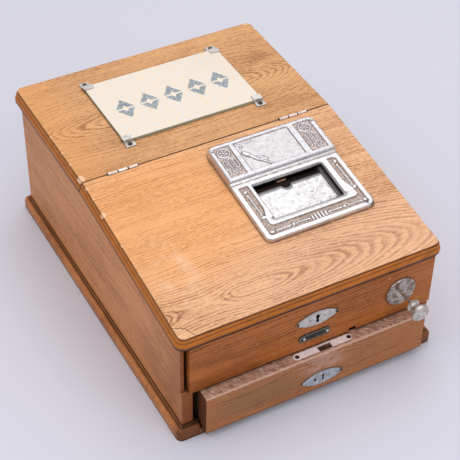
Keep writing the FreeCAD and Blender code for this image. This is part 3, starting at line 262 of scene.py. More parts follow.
# %% [markdown]
# ## Node groups
#
# Grain, age and old plating each appear in many finishes. A node group builds such an effect once,
# with named inputs, and each material then places it with its own values. The shader itself stays
# outside, in the material, so that other programs can read it.

# %% Helpers for node groups
SOCKETS = {float: "NodeSocketFloat", tuple: "NodeSocketColor", str: "NodeSocketVector"}


def new_group(name, inputs, outputs):
    """A node group with named sockets; a string default makes a vector socket."""
    tree = bpy.data.node_groups.new(name, "ShaderNodeTree")
    for in_out, sockets in (("INPUT", inputs), ("OUTPUT", outputs)):
        for label, default in sockets.items():
            socket = tree.interface.new_socket(name=label, in_out=in_out,
                                               socket_type=SOCKETS[type(default)])
            if in_out == "INPUT" and not isinstance(default, str):
                socket.default_value = default
    return tree, tree.nodes.new("NodeGroupInput").outputs, tree.nodes.new("NodeGroupOutput")


def use_group(tree, group, inputs):
    """Place a node group in a material. Three numbers together are a screen colour."""
    ready = {key: rgb(*value) if isinstance(value, tuple) else value
             for key, value in inputs.items()}
    return add(tree, "Group", ready, node_tree=group).outputs


print("a group's sockets are", ", ".join(kind[10:] for kind in SOCKETS.values()))

# %% [markdown]
# ## Oak
#
# Oak shows three things at once. Growth rings make bands; a flat-sawn board cuts them at a low
# angle, so they nest as pointed arches. Open pores make short dark dashes that follow the grain
# and crowd at each ring's edge. Rays make small pale flecks. One group makes all three from a
# point in the board. A ring is a distance from the heart of the tree, which lies under the board
# at a depth that each board states: where that depth grows along the board, the rings close into
# arches. Image textures would be easier, but they need unwrapping and repeat at every seam.

# %% Build the oak group
RIPPLE_WIDTH, FLECK_PALER = 0.0034, -0.2

oak, given, result = new_group(
    "oak grain",
    {"Point": "", "Heart Side": 0.0, "Heart Depth": 0.05, "Ring": 0.0032, "Wander": 0.01,
     "Figure": 0.6, "Pores": 0.6, "Light": rgb(222, 163, 103), "Dark": rgb(168, 106, 55)},
    {"Color": rgb(0, 0, 0), "Roughness": 0.5, "Height": 0.0})
point = given["Point"]
drift = swing(oak, point, 1, stretch=(5, 15, 15), detail=3)
ripple = swing(oak, point, 1, stretch=(34, 130, 130), detail=3)
side = calc(oak, "MULTIPLY_ADD", drift, given["Wander"],
            calc(oak, "SUBTRACT", split(oak, point)["Y"], given["Heart Side"]))
below = given["Heart Depth"]
radius = calc(oak, "SQRT", calc(oak, "ADD", times(oak, side, side), times(oak, below, below)))
radius = calc(oak, "MULTIPLY_ADD", drift, given["Wander"], radius)
radius = calc(oak, "MULTIPLY_ADD", ripple, RIPPLE_WIDTH, radius)
turn = calc(oak, "DIVIDE", radius, given["Ring"])
phase = calc(oak, "FRACT", turn)
year = add(oak, "TexWhiteNoise", {1: calc(oak, "FLOOR", turn)}, noise_dimensions="1D").outputs[0]
band = times(oak, remap(oak, phase, 0.0, 0.12), remap(oak, phase, 0.2, 0.8, 1.0, 0.0),
             calc(oak, "MULTIPLY_ADD", year, 0.7, 0.3))
long_pore = patches(oak, point, (0.48, 0.66), 1, (115, 720, 720), 3, 0.65)
fine_pore = patches(oak, point, (0.42, 0.64), 1, (210, 1400, 1400), 3)
crowd = patches(oak, point, (0.32, 0.62, 0.45, 1.0), 1, (9, 34, 34), 3)
pore = times(oak, any_of(oak, long_pore, times(oak, fine_pore, 0.85)),
             calc(oak, "MULTIPLY_ADD", band, 0.6, 0.4), crowd, given["Pores"])
fleck = patches(oak, point, (0.60, 0.70), 1, (70, 420, 200), 1)
cloud = swing(oak, point, 1, stretch=(7, 16, 16), detail=5, rough=0.65)
streak = swing(oak, point, 1, stretch=(14, 340, 340), detail=4, rough=0.6)
shade = times(oak, band, given["Figure"])
for layer, weight in ((pore, 0.9), (cloud, 1.0), (streak, 0.6)):
    shade = calc(oak, "MULTIPLY_ADD", layer, weight, shade)
shade = calc(oak, "MULTIPLY_ADD", fleck, FLECK_PALER, shade, clamp=True)
hollow = calc(oak, "MULTIPLY_ADD", band, 0.3, times(oak, pore, 0.7))
feed(oak, result, {"Color": mix(oak, shade, given["Light"], given["Dark"]),
                   "Roughness": calc(oak, "MULTIPLY_ADD", shade, 0.18, 0.40),
                   "Height": calc(oak, "SUBTRACT", 1.0, hollow)})
print("oak group has", len(oak.nodes), "nodes")

# %% [markdown]
# ## Age
#
# Age has two signs that every oak board shares. Grime and painted shade darken where a cloth
# doesn't reach, and hands rub the corners pale. Ambient occlusion finds the first: it asks how
# closed-in a point is, which is where shade falls. The Bevel node finds the second: it gives the
# direction that a slightly rounded surface would have, and where that differs from the true
# direction there is an edge.

# %% Build the age group
age, given, result = new_group(
    "age",
    {"Point": "", "Color": rgb(200, 150, 100), "Grime And Shade Color": rgb(40, 22, 12),
     "Edge Color": rgb(225, 180, 130), "Grime And Shade": 0.7, "Edge": 0.5, "Grime And Shade Reach": 0.006,
     "Edge Reach": 0.0012},
    {"Color": rgb(0, 0, 0), "Edge Mask": 0.0, "Normal": ""})
# Grime and painted shade: ambient occlusion darkens the closed-in points.
closed = add(age, "AmbientOcclusion", {"Distance": given["Grime And Shade Reach"]}, samples=8)
grime_and_shade = remap(age, closed.outputs["AO"], 0.35, 0.95, 1.0, 0.0)
grime_and_shade = calc(age, "MULTIPLY", grime_and_shade, given["Grime And Shade"], clamp=True)
rounded = add(age, "Bevel", {"Radius": given["Edge Reach"]}, samples=6).outputs[0]
facing = add(age, "NewGeometry").outputs["Normal"]
turned_away = add(age, "VectorMath", {0: rounded, 1: facing}, operation="DOT_PRODUCT").outputs[1]
edge = remap(age, turned_away, 0.80, 0.99, 1.0, 0.0)
patchy = patches(age, given["Point"], (0.42, 0.62), 90, detail=4, rough=0.7)
edge = calc(age, "MULTIPLY", times(age, edge, patchy), given["Edge"], clamp=True)
open_edge = times(age, edge, calc(age, "SUBTRACT", 1.0, grime_and_shade))
worn = mix(age, open_edge, given["Color"], given["Edge Color"])
feed(age, result, {"Color": mix(age, grime_and_shade, worn, given["Grime And Shade Color"]), "Edge Mask": open_edge,
                   "Normal": rounded})
print("age group has", len(age.nodes), "nodes")

# %% [markdown]
# ## A material for each board
#
# Every oak board uses the same two groups with its own values. The grain runs along the board, so
# the point is turned first: the group always takes length, width and thickness in that order. A
# board on its edge, such as the front panel, has its width upwards. A Float Curve gives the depth
# of the heart along a board, point by point.

# %% Helpers for oak finishes
GRAIN_ORDER = {"x": ("X", "Y", "Z"), "y": ("Y", "Z", "X"), "x_upright": ("X", "Z", "Y")}


def start_material(name):
    """A new material with its shader, its points and its outward directions."""
    material = bpy.data.materials.new(name)
    material.use_nodes = True
    tree = material.node_tree
    shader = tree.nodes["Principled BSDF"]
    coordinates = add(tree, "TexCoord")
    return material, tree, shader, coordinates.outputs["Object"], coordinates.outputs["Normal"]


def grain_point(tree, point, along):
    """The point as length, width and thickness of a board whose grain runs along an axis."""
    parts = split(tree, point)
    return add(tree, "CombineXYZ", {i: parts[axis] for i, axis in
                                    enumerate(GRAIN_ORDER[along])}).outputs[0]


def curve_through(tree, value, points):
    """A smooth curve through (value, result) points."""
    low, high, top = points[0][0], points[-1][0], max(result for _, result in points)
    share = add(tree, "MapRange", {0: value, 1: low, 2: high}).outputs[0]
    node = add(tree, "FloatCurve", {"Value": share})
    line = node.mapping.curves[0].points
    for index, (place, result) in enumerate(points):
        spot = ((place - low) / (high - low), result / top)
        if index in (0, len(points) - 1):
            line[0 if index == 0 else -1].location = spot
        else:
            line.new(*spot)
    node.mapping.update()
    return times(tree, node.outputs[0], top)


def oak_material(name, along, grain, wear, heart=0.05, adjust=None, gloss=0.2, bump=0.3):
    """Oak with its own grain and wear. The heart is a depth, or (place, depth) along the board."""
    material, tree, shader, point, outward = start_material(name)
    board = grain_point(tree, point, along)
    if not isinstance(heart, float):
        heart = curve_through(tree, split(tree, board)["X"], heart)
    wood = use_group(tree, oak, {"Point": board, "Heart Depth": heart, **grain})
    colour = adjust(tree, wood["Color"], point, outward) if adjust else wood["Color"]
    aged = use_group(tree, age, {"Point": point, "Color": colour, **wear})
    relief = add(tree, "Bump", {"Strength": bump, "Distance": 0.4 * MM,
                                "Height": wood["Height"], "Normal": aged["Normal"]})
    feed(tree, shader, {
        "Base Color": aged["Color"], "Normal": relief.outputs[0], "Specular IOR Level": gloss,
        "Roughness": calc(tree, "MULTIPLY_ADD", aged["Edge Mask"], 0.25, wood["Roughness"])})
    return material


def coat_nodes(material, *names):
    """Give CAD nodes a material."""
    for name in names:
        for slot in nodes[name].material_slots:
            slot.material = material
    print(material.name, "is on", *names)


print("the grain can run", " or ".join(GRAIN_ORDER))

# %% Helpers that place a mark
def away(tree, value, place):
    """How far a value is from a place, on either side."""
    return calc(tree, "ABSOLUTE", calc(tree, "SUBTRACT", value, place))


def gap_to(tree, point, place):
    """The distance from a point to a place."""
    return add(tree, "VectorMath", {0: point, 1: place}, operation="DISTANCE").outputs[1]


def line_at(tree, value, place, half, soft):
    """1 where a value is within half of a place, falling to 0 over a soft edge."""
    return remap(tree, away(tree, value, place), half, half + soft, 1.0, 0.0)


def near(tree, point, place, reach):
    """A soft spot: 1 at a place, 0 beyond its reach."""
    gap = add(tree, "VectorMath", {0: point, 1: place}, operation="SUBTRACT").outputs[0]
    share = scaled(tree, gap, tuple(1 / r for r in reach))
    length = add(tree, "VectorMath", {0: share}, operation="LENGTH").outputs[1]
    return remap(tree, length, 0.35, 1.0, 1.0, 0.0)


def chip(tree, point, place, size):
    """A small broken flake with a ragged outline."""
    rough_point = calc(tree, "MULTIPLY_ADD", noise(tree, point, 420, detail=3), 0.9, -0.45)
    share = calc(tree, "DIVIDE", gap_to(tree, point, place), size)
    return remap(tree, calc(tree, "ADD", share, rough_point), 0.92, 1.0, 1.0, 0.0)


def face_mask(tree, outward):
    """1 on faces that look up, 0 on edges."""
    return remap(tree, split(tree, outward)["Z"], 0.90, 0.97)


def layered(tree, colour, *coats):
    """Lay coats over a colour. Each coat is a mask, a strength and a screen colour."""
    for mask, strength, tint in coats:
        colour = mix(tree, times(tree, mask, strength), colour, rgb(*tint))
    return colour


print("helpers:", ", ".join(made.__name__ for made in (
    away, gap_to, line_at, near, chip, face_mask, layered)))

# %% [markdown]
# ## The top and the lid
#
# The top is the palest wood, because light and hands have bleached it. Its moulded edge kept its
# varnish and is a deeper orange, with painted shade in both of its quirks, the narrow grooves
# between the mouldings, and a painted shadow along its underside. The face is told from the edge
# by its outward direction, which object coordinates give in the board's own frame, so it stays
# right when the lid opens. The quirks are told by their distance below the face.

# %% Helpers for the moulded edges
LID_SLOPE, HINGE_Y, LID_TOP = math.radians(7.2), 23.0, 196.0
LID_UP = Vector((0, -math.sin(LID_SLOPE), math.cos(LID_SLOPE)))
EDGE_BROWN = rgb(206, 132, 40)
UPPER_QUIRK, LOWER_QUIRK = -1.7 * MM, -6.6 * MM


def above_face(tree, point, up):
    """How far a point stands above a face through the hinge line; below it is negative."""
    origin = Vector((0, HINGE_Y * MM, LID_TOP * MM))
    rise = add(tree, "VectorMath", {0: point, 1: tuple(up)}, operation="DOT_PRODUCT").outputs[1]
    return calc(tree, "SUBTRACT", rise, origin.dot(up))


def varnished_and_shaded_edge(tree, colour, outward, rise):
    """Keep the moulding deeper than the face; paint shade in its two quirks and a shadow under it.
    """
    # Painted shade: dark lines in the two quirks.
    quirks = any_of(tree, line_at(tree, rise, UPPER_QUIRK, 0.0003, 0.0006),
                    times(tree, line_at(tree, rise, LOWER_QUIRK, 0.0004, 0.0006), 0.75))
    deep = layered(tree, mix(tree, 0.55, EDGE_BROWN, colour, "MULTIPLY"),
                   (remap(tree, rise, -0.0080, -0.0150), 0.5, (150, 88, 28)),
                   (quirks, 0.85, (74, 38, 16)),
                   # Painted shadow: the underside of the moulding goes nearly black.
                   (remap(tree, rise, -0.0115, -0.0140), 0.88, (38, 19, 10)))
    return mix(tree, face_mask(tree, outward), deep, colour)


def dark_seam(tree, colour, point):
    """A brown line of grime where the lid meets the top board."""
    seam = line_at(tree, split(tree, point)["Y"], HINGE_Y * MM, 0.0010, 0.0005)
    return layered(tree, colour, (seam, 0.7, (84, 52, 44)))


def chipped(tree, colour, point, places):
    """Small pale flakes along an edge, given as a place and a size in millimetres."""
    flakes = any_of(tree, *[chip(tree, point, tuple(v * MM for v in place), size * MM)
                            for *place, size in places])
    return layered(tree, colour, (flakes, 0.75, (246, 206, 168)))


print("the lid slopes by", round(math.degrees(LID_SLOPE), 1), "degrees")

# %% Finish the lid
SPLIT_CENTRE, SPLIT_RADIUS = (-0.1782, -0.2385, 0), 0.0268
LID_CHIPS = ((-170, 12, 194.5, 2.4), (-170, -6, 192, 1.7), (-169.5, -34, 188.8, 4.0),
             (-170, -85, 182, 1.9), (-170.2, -130, 176.7, 1.6))
CUT_MIDDLE, CUT_HALF = (0.057, -0.085), (0.0535, 0.0450)


def lid_colour(tree, colour, point, outward):
    """The lid: golden at left, rubbed pale with painted sheen at the front, split at one corner.
    """
    rise = above_face(tree, point, LID_UP)
    face = face_mask(tree, outward)
    colour = dark_seam(tree, varnished_and_shaded_edge(tree, colour, outward, rise), point)
    streaks = patches(tree, point, (0.42, 0.66), 1, (40, 30, 30), 4, 0.65)
    golden = near(tree, point, (-0.10, -0.06, 0.18), (0.17, 0.16, 0.2))
    # Partly rubbed wear, partly painted sheen: the pale patch at the front right.
    pale = near(tree, point, (0.06, -0.22, 0.17), (0.26, 0.13, 0.2))
    haze = near(tree, point, (-0.132, -0.145, 0.17), (0.030, 0.075, 0.1))
    gap = gap_to(tree, scaled(tree, point, (1, 1, 0)), SPLIT_CENTRE)
    waver = swing(tree, point, 55, detail=4, rough=0.6)
    gap = calc(tree, "MULTIPLY_ADD", waver, 0.010, gap)
    crack = line_at(tree, gap, SPLIT_RADIUS, 0.0002, 0.0007)
    lost = remap(tree, gap, SPLIT_RADIUS - 0.6 * MM, SPLIT_RADIUS, 1.0, 0.0)
    colour = layered(tree, colour,
                     (times(tree, golden, face), 0.45, (246, 164, 86)),
                     (times(tree, pale, face), 0.25, (232, 186, 156)),
                     (times(tree, haze, face, streaks), 0.4, (246, 214, 188)),
                     (times(tree, crack, face), 1.0, (84, 46, 24)),
                     (times(tree, lost, face), 0.25, (236, 192, 150)))
    colour = chipped(tree, colour, point, LID_CHIPS)
    # Painted shade: the walls of the window's cut-out go nearly black.
    inside = [line_at(tree, split(tree, point)[axis], middle, half, 0.0004)
              for axis, middle, half in zip("XY", CUT_MIDDLE, CUT_HALF)]
    cut = times(tree, *inside, remap(tree, rise, -0.0012, -0.0004, 1.0, 0.0))
    return layered(tree, colour, (cut, 1.0, (26, 18, 13)))


TOP_WEAR_AND_SHADE = {"Grime And Shade": 0.9, "Grime And Shade Reach": 0.004, "Edge": 0.5, "Edge Color": (244, 200, 154),
            "Grime And Shade Color": (52, 28, 15)}
lid_oak = oak_material(
    "oak_lid", "x",
    {"Heart Side": -0.2005, "Ring": 0.0033, "Wander": 0.010, "Figure": 0.46, "Pores": 1.3,
     "Light": (238, 183, 135), "Dark": (146, 88, 50)}, TOP_WEAR_AND_SHADE,
    ((-0.172, 0.004), (-0.118, 0.014), (-0.062, 0.0025), (0.0, 0.010), (0.135, 0.034),
     (0.174, 0.042)), lid_colour, gloss=0.3)
coat_nodes(lid_oak, "lid_board")

# %% Finish the top board
TOP_CHIPS = ((-169.5, 30, 196, 5.8), (-170, 85, 196, 1.8), (-170, 120, 196, 2.2),
             (163, 231, 196, 3.0), (170, 214, 196, 2.4), (170, 186, 196, 2.0),
             (-170, 61, 196, 2.0))


def top_colour(tree, colour, point, outward):
    """The top board: golden, with curly grain at its right and two small dents."""
    rise = above_face(tree, point, Vector((0, 0, 1)))
    colour = dark_seam(tree, varnished_and_shaded_edge(tree, colour, outward, rise), point)
    left_end = remap(tree, split(tree, point)["X"], -0.10, -0.165)
    curl = near(tree, point, (0.142, 0.156, 0.196), (0.02, 0.02, 0.02))
    dents = any_of(tree, chip(tree, point, (0.126, 0.148, 0.196), 0.0022),
                   chip(tree, point, (-0.05, 0.045, 0.196), 0.0012))
    colour = layered(tree, colour,
                     (times(tree, left_end, face_mask(tree, outward)), 0.35, (226, 150, 82)),
                     (curl, 0.35, (150, 96, 52)), (dents, 0.6, (92, 52, 26)))
    return chipped(tree, colour, point, TOP_CHIPS)


top_oak = oak_material(
    "oak_top", "x",
    {"Heart Side": 0.118, "Ring": 0.0031, "Wander": 0.014, "Figure": 0.38, "Pores": 1.15,
     "Light": (226, 170, 116), "Dark": (138, 84, 44)}, TOP_WEAR_AND_SHADE,
    ((-0.172, 0.030), (-0.09, 0.013), (0.0, 0.003), (0.09, 0.014), (0.172, 0.036)), top_colour,
    gloss=0.3)
coat_nodes(top_oak, "top_board")

# %% [markdown]
# ## The case
#
# The sides and the back are browner than the top. The front panel is the reddest board and has
# straight grain. Straight grain only needs a deep heart, because a large circle is nearly a
# straight line.

# %% Finish the sides, the back and the base
CASE_WEAR_AND_SHADE = {"Grime And Shade": 0.75, "Grime And Shade Reach": 0.006, "Edge": 0.6, "Edge Color": (214, 160, 110),
             "Grime And Shade Color": (40, 20, 10)}
SIDE_FACE, LEDGE = 0.167, 0.0165


def side_colour(tree, colour, point, outward):
    """A side board: painted shade on its front end, and a dark lower front where hands reach."""
    # Painted shade: faces that look forward are darkened.
    front_shade = remap(tree, split(tree, outward)["Y"], -0.9, -0.6, 1.0, 0.0)
    handled = near(tree, point, (-0.167, -0.235, 0.045), (0.08, 0.16, 0.13))
    uneven = patches(tree, point, (0.35, 0.62), 22, detail=4, rough=0.6)
    uneven = calc(tree, "MULTIPLY_ADD", uneven, 0.6, 0.4)
    return layered(tree, colour, (times(tree, handled, uneven), 0.6, (150, 86, 50)),
                   (front_shade, 0.75, (136, 70, 34)))


def base_colour(tree, colour, point, outward):
    """The base: black along the foot of the boards and at its step, dark at the front, dull in
    patches.
    """
    x, y, z = split(tree, point)
    reach = calc(tree, "SUBTRACT", away(tree, x, 0), SIDE_FACE)
    ledge = remap(tree, z, LEDGE + 0.7 * MM, LEDGE + 1.5 * MM)
    groove = times(tree, ledge, remap(tree, reach, 0.0006, 0.0014, 1.0, 0.0))
    step_line = line_at(tree, z, LEDGE, 0.0003, 0.0006)
    dull = patches(tree, point, (0.36, 0.64), 26, detail=4, rough=0.65)
    return layered(tree, colour, (dull, 0.4, (120, 62, 26)),
                   (remap(tree, y, -0.232, -0.222, 1.0, 0.0), 0.8, (96, 54, 30)),
                   (any_of(tree, groove, times(tree, step_line, 0.8)), 0.85, (40, 20, 10)))


side_oak = oak_material(
    "oak_side", "y",
    {"Heart Side": 0.33, "Ring": 0.0034, "Wander": 0.016, "Figure": 0.40, "Pores": 0.7,
     "Light": (220, 150, 96), "Dark": (124, 64, 28)}, CASE_WEAR_AND_SHADE, 0.03, side_colour)
back_oak = oak_material(
    "oak_back", "x_upright",
    {"Heart Side": 0.02, "Ring": 0.0036, "Wander": 0.022, "Figure": 0.42, "Pores": 0.8,
     "Light": (214, 146, 92), "Dark": (120, 62, 28)}, CASE_WEAR_AND_SHADE, 0.012)
moulding_oak = oak_material(
    "oak_moulding", "y",
    {"Heart Side": 0.3, "Ring": 0.0036, "Wander": 0.012, "Figure": 0.35, "Pores": 0.7,
     "Light": (214, 138, 78), "Dark": (122, 66, 30)}, {**CASE_WEAR_AND_SHADE, "Grime And Shade": 0.9},
    adjust=base_colour)
coat_nodes(side_oak, "side_left", "side_right")
coat_nodes(back_oak, "back_panel")
coat_nodes(moulding_oak, "base_left", "base_right", "base_back", "base_returns", "base_rail")

# %% Finish the front panel
PANEL_TOP = max(v.co.z for v in nodes["front_panel"].data.vertices)
PANEL_SKIN = (-0.2303, -0.2300)
PANEL_OVAL, DRAWER_OVAL = (0.0058, 0.116), (0.0085, 0.030)
OVAL_OFFSET, OVAL_RADIUS = 0.0348, 0.0457
KEYHOLE, HOLE_HALF = (0.006, 0.115), (0.0045, 0.0085)


def oval_reach(tree, point, centre):
    """The distance to the farther of the centres of a pointed oval's two circles."""
    flat = scaled(tree, point, (1, 0, 1))
    return any_of(tree, *[gap_to(tree, flat, (centre[0], 0, centre[1] + offset))
                          for offset in (-OVAL_OFFSET, OVAL_OFFSET)])


def oval_line(tree, point, centre):
    """A dark line round a pointed oval plate. The plate is where two large circles overlap."""
    return remap(tree, oval_reach(tree, point, centre), OVAL_RADIUS, OVAL_RADIUS + 0.7 * MM,
                 1.0, 0.0)


def panel_colour(tree, colour, point, outward):
    """The front panel: painted shadow under the lid, painted shade in its keyhole, a few pale
    specks.
    """
    x, y, z = split(tree, point)
    # Painted shade: the inside of the keyhole goes black.
    keyhole_shade = times(tree, line_at(tree, x, KEYHOLE[0], HOLE_HALF[0], 0.0005),
                 line_at(tree, z, KEYHOLE[1], HOLE_HALF[1], 0.001), remap(tree, y, *PANEL_SKIN))
    broad = patches(tree, point, (0.36, 0.64), 1, (14, 30, 46), 4, 0.6)
    foot = times(tree, remap(tree, z, 0.100, 0.072), remap(tree, x, 0.02, 0.12), broad)
    worn_left = times(tree, remap(tree, x, -0.01, -0.11), remap(tree, z, 0.135, 0.105), broad)
    slant = calc(tree, "MULTIPLY_ADD", x, 0.12, z)
    split_line = times(tree, line_at(tree, slant, 0.1225, 0.0002, 0.0005),
                       line_at(tree, x, -0.146, 0.010, 0.004),
                       remap(tree, y, *reversed(PANEL_SKIN)))
    return layered(
        tree, colour,
        # Painted shadow: a black line under the lid's moulding.
        (remap(tree, z, PANEL_TOP - 4.4 * MM, PANEL_TOP - 2.8 * MM), 0.95, (24, 12, 6)),
        (oval_line(tree, point, PANEL_OVAL), 0.85, (26, 14, 8)), (keyhole_shade, 1.0, (6, 4, 3)),
        (foot, 0.6, (198, 120, 40)), (worn_left, 0.5, (112, 54, 22)),
        (patches(tree, point, (0.80, 0.82), 130, detail=0), 0.5, (206, 156, 116)),
        (split_line, 0.8, (60, 30, 16)))


panel_oak = oak_material(
    "oak_panel", "x_upright",
    {"Heart Side": -0.5, "Ring": 0.0048, "Wander": 0.010, "Figure": 0.44, "Pores": 0.9,
     "Light": (190, 112, 54), "Dark": (90, 42, 14)}, CASE_WEAR_AND_SHADE, 0.06, panel_colour)
coat_nodes(panel_oak, "front_panel")

# %% [markdown]
# ## The drawer front
#
# Hands pulled the drawer by its top edge, so its varnish has gone there: the top is dry, pinkish
# grey and scored across the grain, and its front arris is broken to bare wood. The face is
# grey-brown, with an orange band left along its foot and a rubbed patch over the lock. Its end
# faces and a line along its bottom edge are painted dark as shade.

# %% Colour the drawer's face
def drawer_face(tree, colour, point, outward):
    """The face: orange at foot and ends, olive left, rubbed pale over the lock, painted shade at
    ends and foot.
    """
    x, _, z = split(tree, point)
    foot = calc(tree, "MULTIPLY_ADD", noise(tree, point, 14), 0.024, z)
    orange = any_of(tree, remap(tree, foot, 0.022, 0.040, 1.0, 0.0),
                    times(tree, remap(tree, x, 0.06, 0.15), 0.8),
                    times(tree, remap(tree, x, -0.148, -0.115, 1.0, 0.0), 0.7))
    streaks = patches(tree, point, (0.42, 0.62), 1, (160, 160, 800), 3, 0.7)
    blotch = patches(tree, point, (0.40, 0.55), 95, detail=3)
    rubbed = times(tree, near(tree, point, (0.010, -0.247, 0.055), (0.040, 0.02, 0.024)), blotch,
                   calc(tree, "MULTIPLY_ADD", streaks, 0.6, 0.4))
    oval = times(tree, oval_line(tree, point, DRAWER_OVAL),
                 calc(tree, "SUBTRACT", 1.0, face_mask(tree, outward)))
    # Painted shade: the end faces are darkened.
    end = remap(tree, away(tree, split(tree, outward)["X"], 0), 0.7, 0.9)
    return layered(
        tree, colour, (orange, 0.5, (178, 108, 58)),
        (near(tree, point, (-0.075, -0.2465, 0.040), (0.085, 0.02, 0.026)), 0.45, (122, 98, 68)),
        (rubbed, 0.75, (196, 166, 154)), (oval, 0.5, (50, 34, 28)), (end, 0.9, (88, 50, 34)),
        # Painted shadow: a dark line along the bottom edge.
        (remap(tree, z, 0.0112, 0.0128, 1.0, 0.0), 0.7, (60, 34, 20)))


print("drawer front", [round(v, 4) for v in nodes["drawer_front"].dimensions])

# %% Finish the drawer front
ARRIS_Y, ARRIS_Z, SCORE_ANGLE = -0.2465, 0.069, 0.9


def bare_drawer(tree, colour, point, outward):
    """The worn drawer front: its coloured face, its bare top and its broken arris."""
    _, y, z = split(tree, point)
    slanted = add(tree, "VectorRotate", {"Vector": point, "Angle": SCORE_ANGLE},
                  rotation_type="Z_AXIS").outputs[0]
    hatch = patches(tree, slanted, (0.38, 0.60), 1, (120, 560, 200), 4, 0.7)
    broad = patches(tree, point, (0.35, 0.65), 34, detail=3)
    bare = layered(tree, mix(tree, hatch, rgb(208, 174, 158), rgb(136, 96, 80)),
                   (broad, 0.4, (186, 136, 106)))
    colour = mix(tree, times(tree, face_mask(tree, outward), 0.9),
                 drawer_face(tree, colour, point, outward), bare)
    arris = calc(tree, "ADD", away(tree, y, ARRIS_Y), away(tree, z, ARRIS_Z))
    ragged = calc(tree, "MULTIPLY_ADD", noise(tree, point, 190, detail=5, rough=0.7), -0.0050,
                  arris)
    return layered(tree, colour,
                   (remap(tree, ragged, -0.0010, -0.0004, 1.0, 0.0), 0.75, (226, 188, 166)))


drawer_oak = oak_material(
    "oak_drawer_face", "x_upright",
    {"Heart Side": -0.12, "Ring": 0.0042, "Wander": 0.024, "Figure": 0.40, "Pores": 0.8,
     "Light": (188, 126, 84), "Dark": (98, 56, 32)},
    {**CASE_WEAR_AND_SHADE, "Edge": 0.45, "Edge Color": (205, 168, 140)},
    adjust=bare_drawer, gloss=0.15, bump=0.5)
coat_nodes(drawer_oak, "drawer_front")

# %% Finish the wood inside
def shaded_drawer_walls(tree, colour, point, outward):
    """Painted shade: the drawer's walls are nearly black just behind its front."""
    x, y, _ = split(tree, point)
    # Painted shade in the gap behind the drawer front.
    drawer_gap_shade = times(tree, remap(tree, y, -0.196, -0.214),
                 remap(tree, away(tree, x, 0), 0.1385, 0.1405))
    return layered(tree, colour, (drawer_gap_shade, 0.85, (44, 28, 20)))


inner_oak = oak_material(
    "oak_inside", "y",
    {"Heart Side": -0.3, "Ring": 0.0045, "Wander": 0.02, "Figure": 0.35, "Pores": 0.6,
     "Light": (206, 166, 120), "Dark": (148, 106, 68)}, {**CASE_WEAR_AND_SHADE, "Edge": 0.2},
    adjust=shaded_drawer_walls)
coat_nodes(inner_oak, "bottom_board", "divider_board", "hinge_rail", "drawer_side_left",
           "drawer_side_right", "drawer_back", "drawer_floor", "coin_tray", "note_fences",
           "drawer_stops", "supply_spool", "takeup_spool")

# %% [markdown]
# ## Plated metal
#
# The fittings are nickel over a base metal. Wear makes it lighter on the high parts and leaves a
# brown deposit in every recess. The deposit isn't metal, so the group also gives a metal mask.
# Old plate is etched all over, so it never reflects like a mirror.

# %% Build the plate group
plate, given, result = new_group(
    "old plate",
    {"Point": "", "Bright": rgb(226, 223, 218), "Dull": rgb(186, 182, 176),
     "Deposit": rgb(116, 78, 54), "Deposit Amount": 0.8, "Recess": 0.0, "Reach": 0.003,
     "Speckle": 0.5, "Speckle Scale": 700.0, "Metal": 0.85, "Polish": 0.0},
    {"Color": rgb(0, 0, 0), "Metal": 1.0, "Roughness": 0.3, "Height": 0.0})
closed = add(plate, "AmbientOcclusion", {"Distance": given["Reach"]}, samples=8)
deposit = any_of(plate, remap(plate, closed.outputs["AO"], 0.40, 0.92, 1.0, 0.0), given["Recess"])
uneven = patches(plate, given["Point"], (0.28, 0.58), 220, detail=4, rough=0.7)
deposit = times(plate, deposit, calc(plate, "MULTIPLY_ADD", uneven, 0.75, 0.25))
deposit = calc(plate, "MULTIPLY", deposit, given["Deposit Amount"], clamp=True)
mottle = patches(plate, given["Point"], (0.35, 0.68), 160, detail=5, rough=0.7)
fine = add(plate, "VectorMath", {0: given["Point"], 3: given["Speckle Scale"]},
           operation="SCALE").outputs[0]
grit = add(plate, "TexNoise", {"Vector": fine, "Scale": 1.0, "Detail": 3.0}).outputs["Fac"]
pit = times(plate, remap(plate, grit, 0.52, 0.68), given["Speckle"])
colour = layered(plate, mix(plate, mottle, given["Bright"], given["Dull"]),
                 (pit, 0.7, (84, 76, 70)))
bare_metal = calc(plate, "SUBTRACT", 1.0, times(plate, deposit, 0.8))
rough = calc(plate, "SUBTRACT", calc(plate, "MULTIPLY_ADD", mottle, 0.14, 0.28), given["Polish"])
feed(plate, result, {"Color": mix(plate, deposit, colour, given["Deposit"]),
                     "Metal": times(plate, bare_metal, given["Metal"]),
                     "Roughness": calc(plate, "MULTIPLY_ADD", deposit, 0.4, rough),
                     "Height": calc(plate, "SUBTRACT", grit, times(plate, pit, 0.5))})
print("plate group has", len(plate.nodes), "nodes")

# %% A helper for plated finishes
def mesh_mask(tree, name):
    """A value stored at the vertices of a mesh under a name."""
    return add(tree, "Attribute", attribute_name=name).outputs["Fac"]


def plated_material(name, values, adjust=None, bump=0.15, recess=None):
    """A plated finish. adjust may change its colour, and recess names a value on the mesh."""
    material, tree, shader, point, _ = start_material(name)
    if recess:
        values = {**values, "Recess": mesh_mask(tree, recess)}
    made = use_group(tree, plate, {"Point": point, **values})
    relief = add(tree, "Bump", {"Strength": bump, "Distance": 0.2 * MM, "Height": made["Height"]})
    feed(tree, shader, {
        "Base Color": adjust(tree, made["Color"], point) if adjust else made["Color"],
        "Metallic": made["Metal"], "Roughness": made["Roughness"], "Normal": relief.outputs[0]})
    return material


print("a plated finish may set", ", ".join(socket.name for socket in given if socket.name))

# %% [markdown]
# ## Marks on the fittings
#
# Some fittings carry marks that are too shallow or too small to model: a keyhole painted black as
# its shade and an engraved border on the upper oval plate, gaps between the hinges' knuckles,
# painted black as shade, and pins and a wheel that share a CAD node with darker metal. Each is a
# mask made from the place of a point, so it stays sharp at any size.

# %% Mark the upper oval plate
KEY_X, KEY_Z, SCREW_Z = 0.006, 0.118, 0.1160
SCREW_SIDES = (-0.0098, 0.0092)


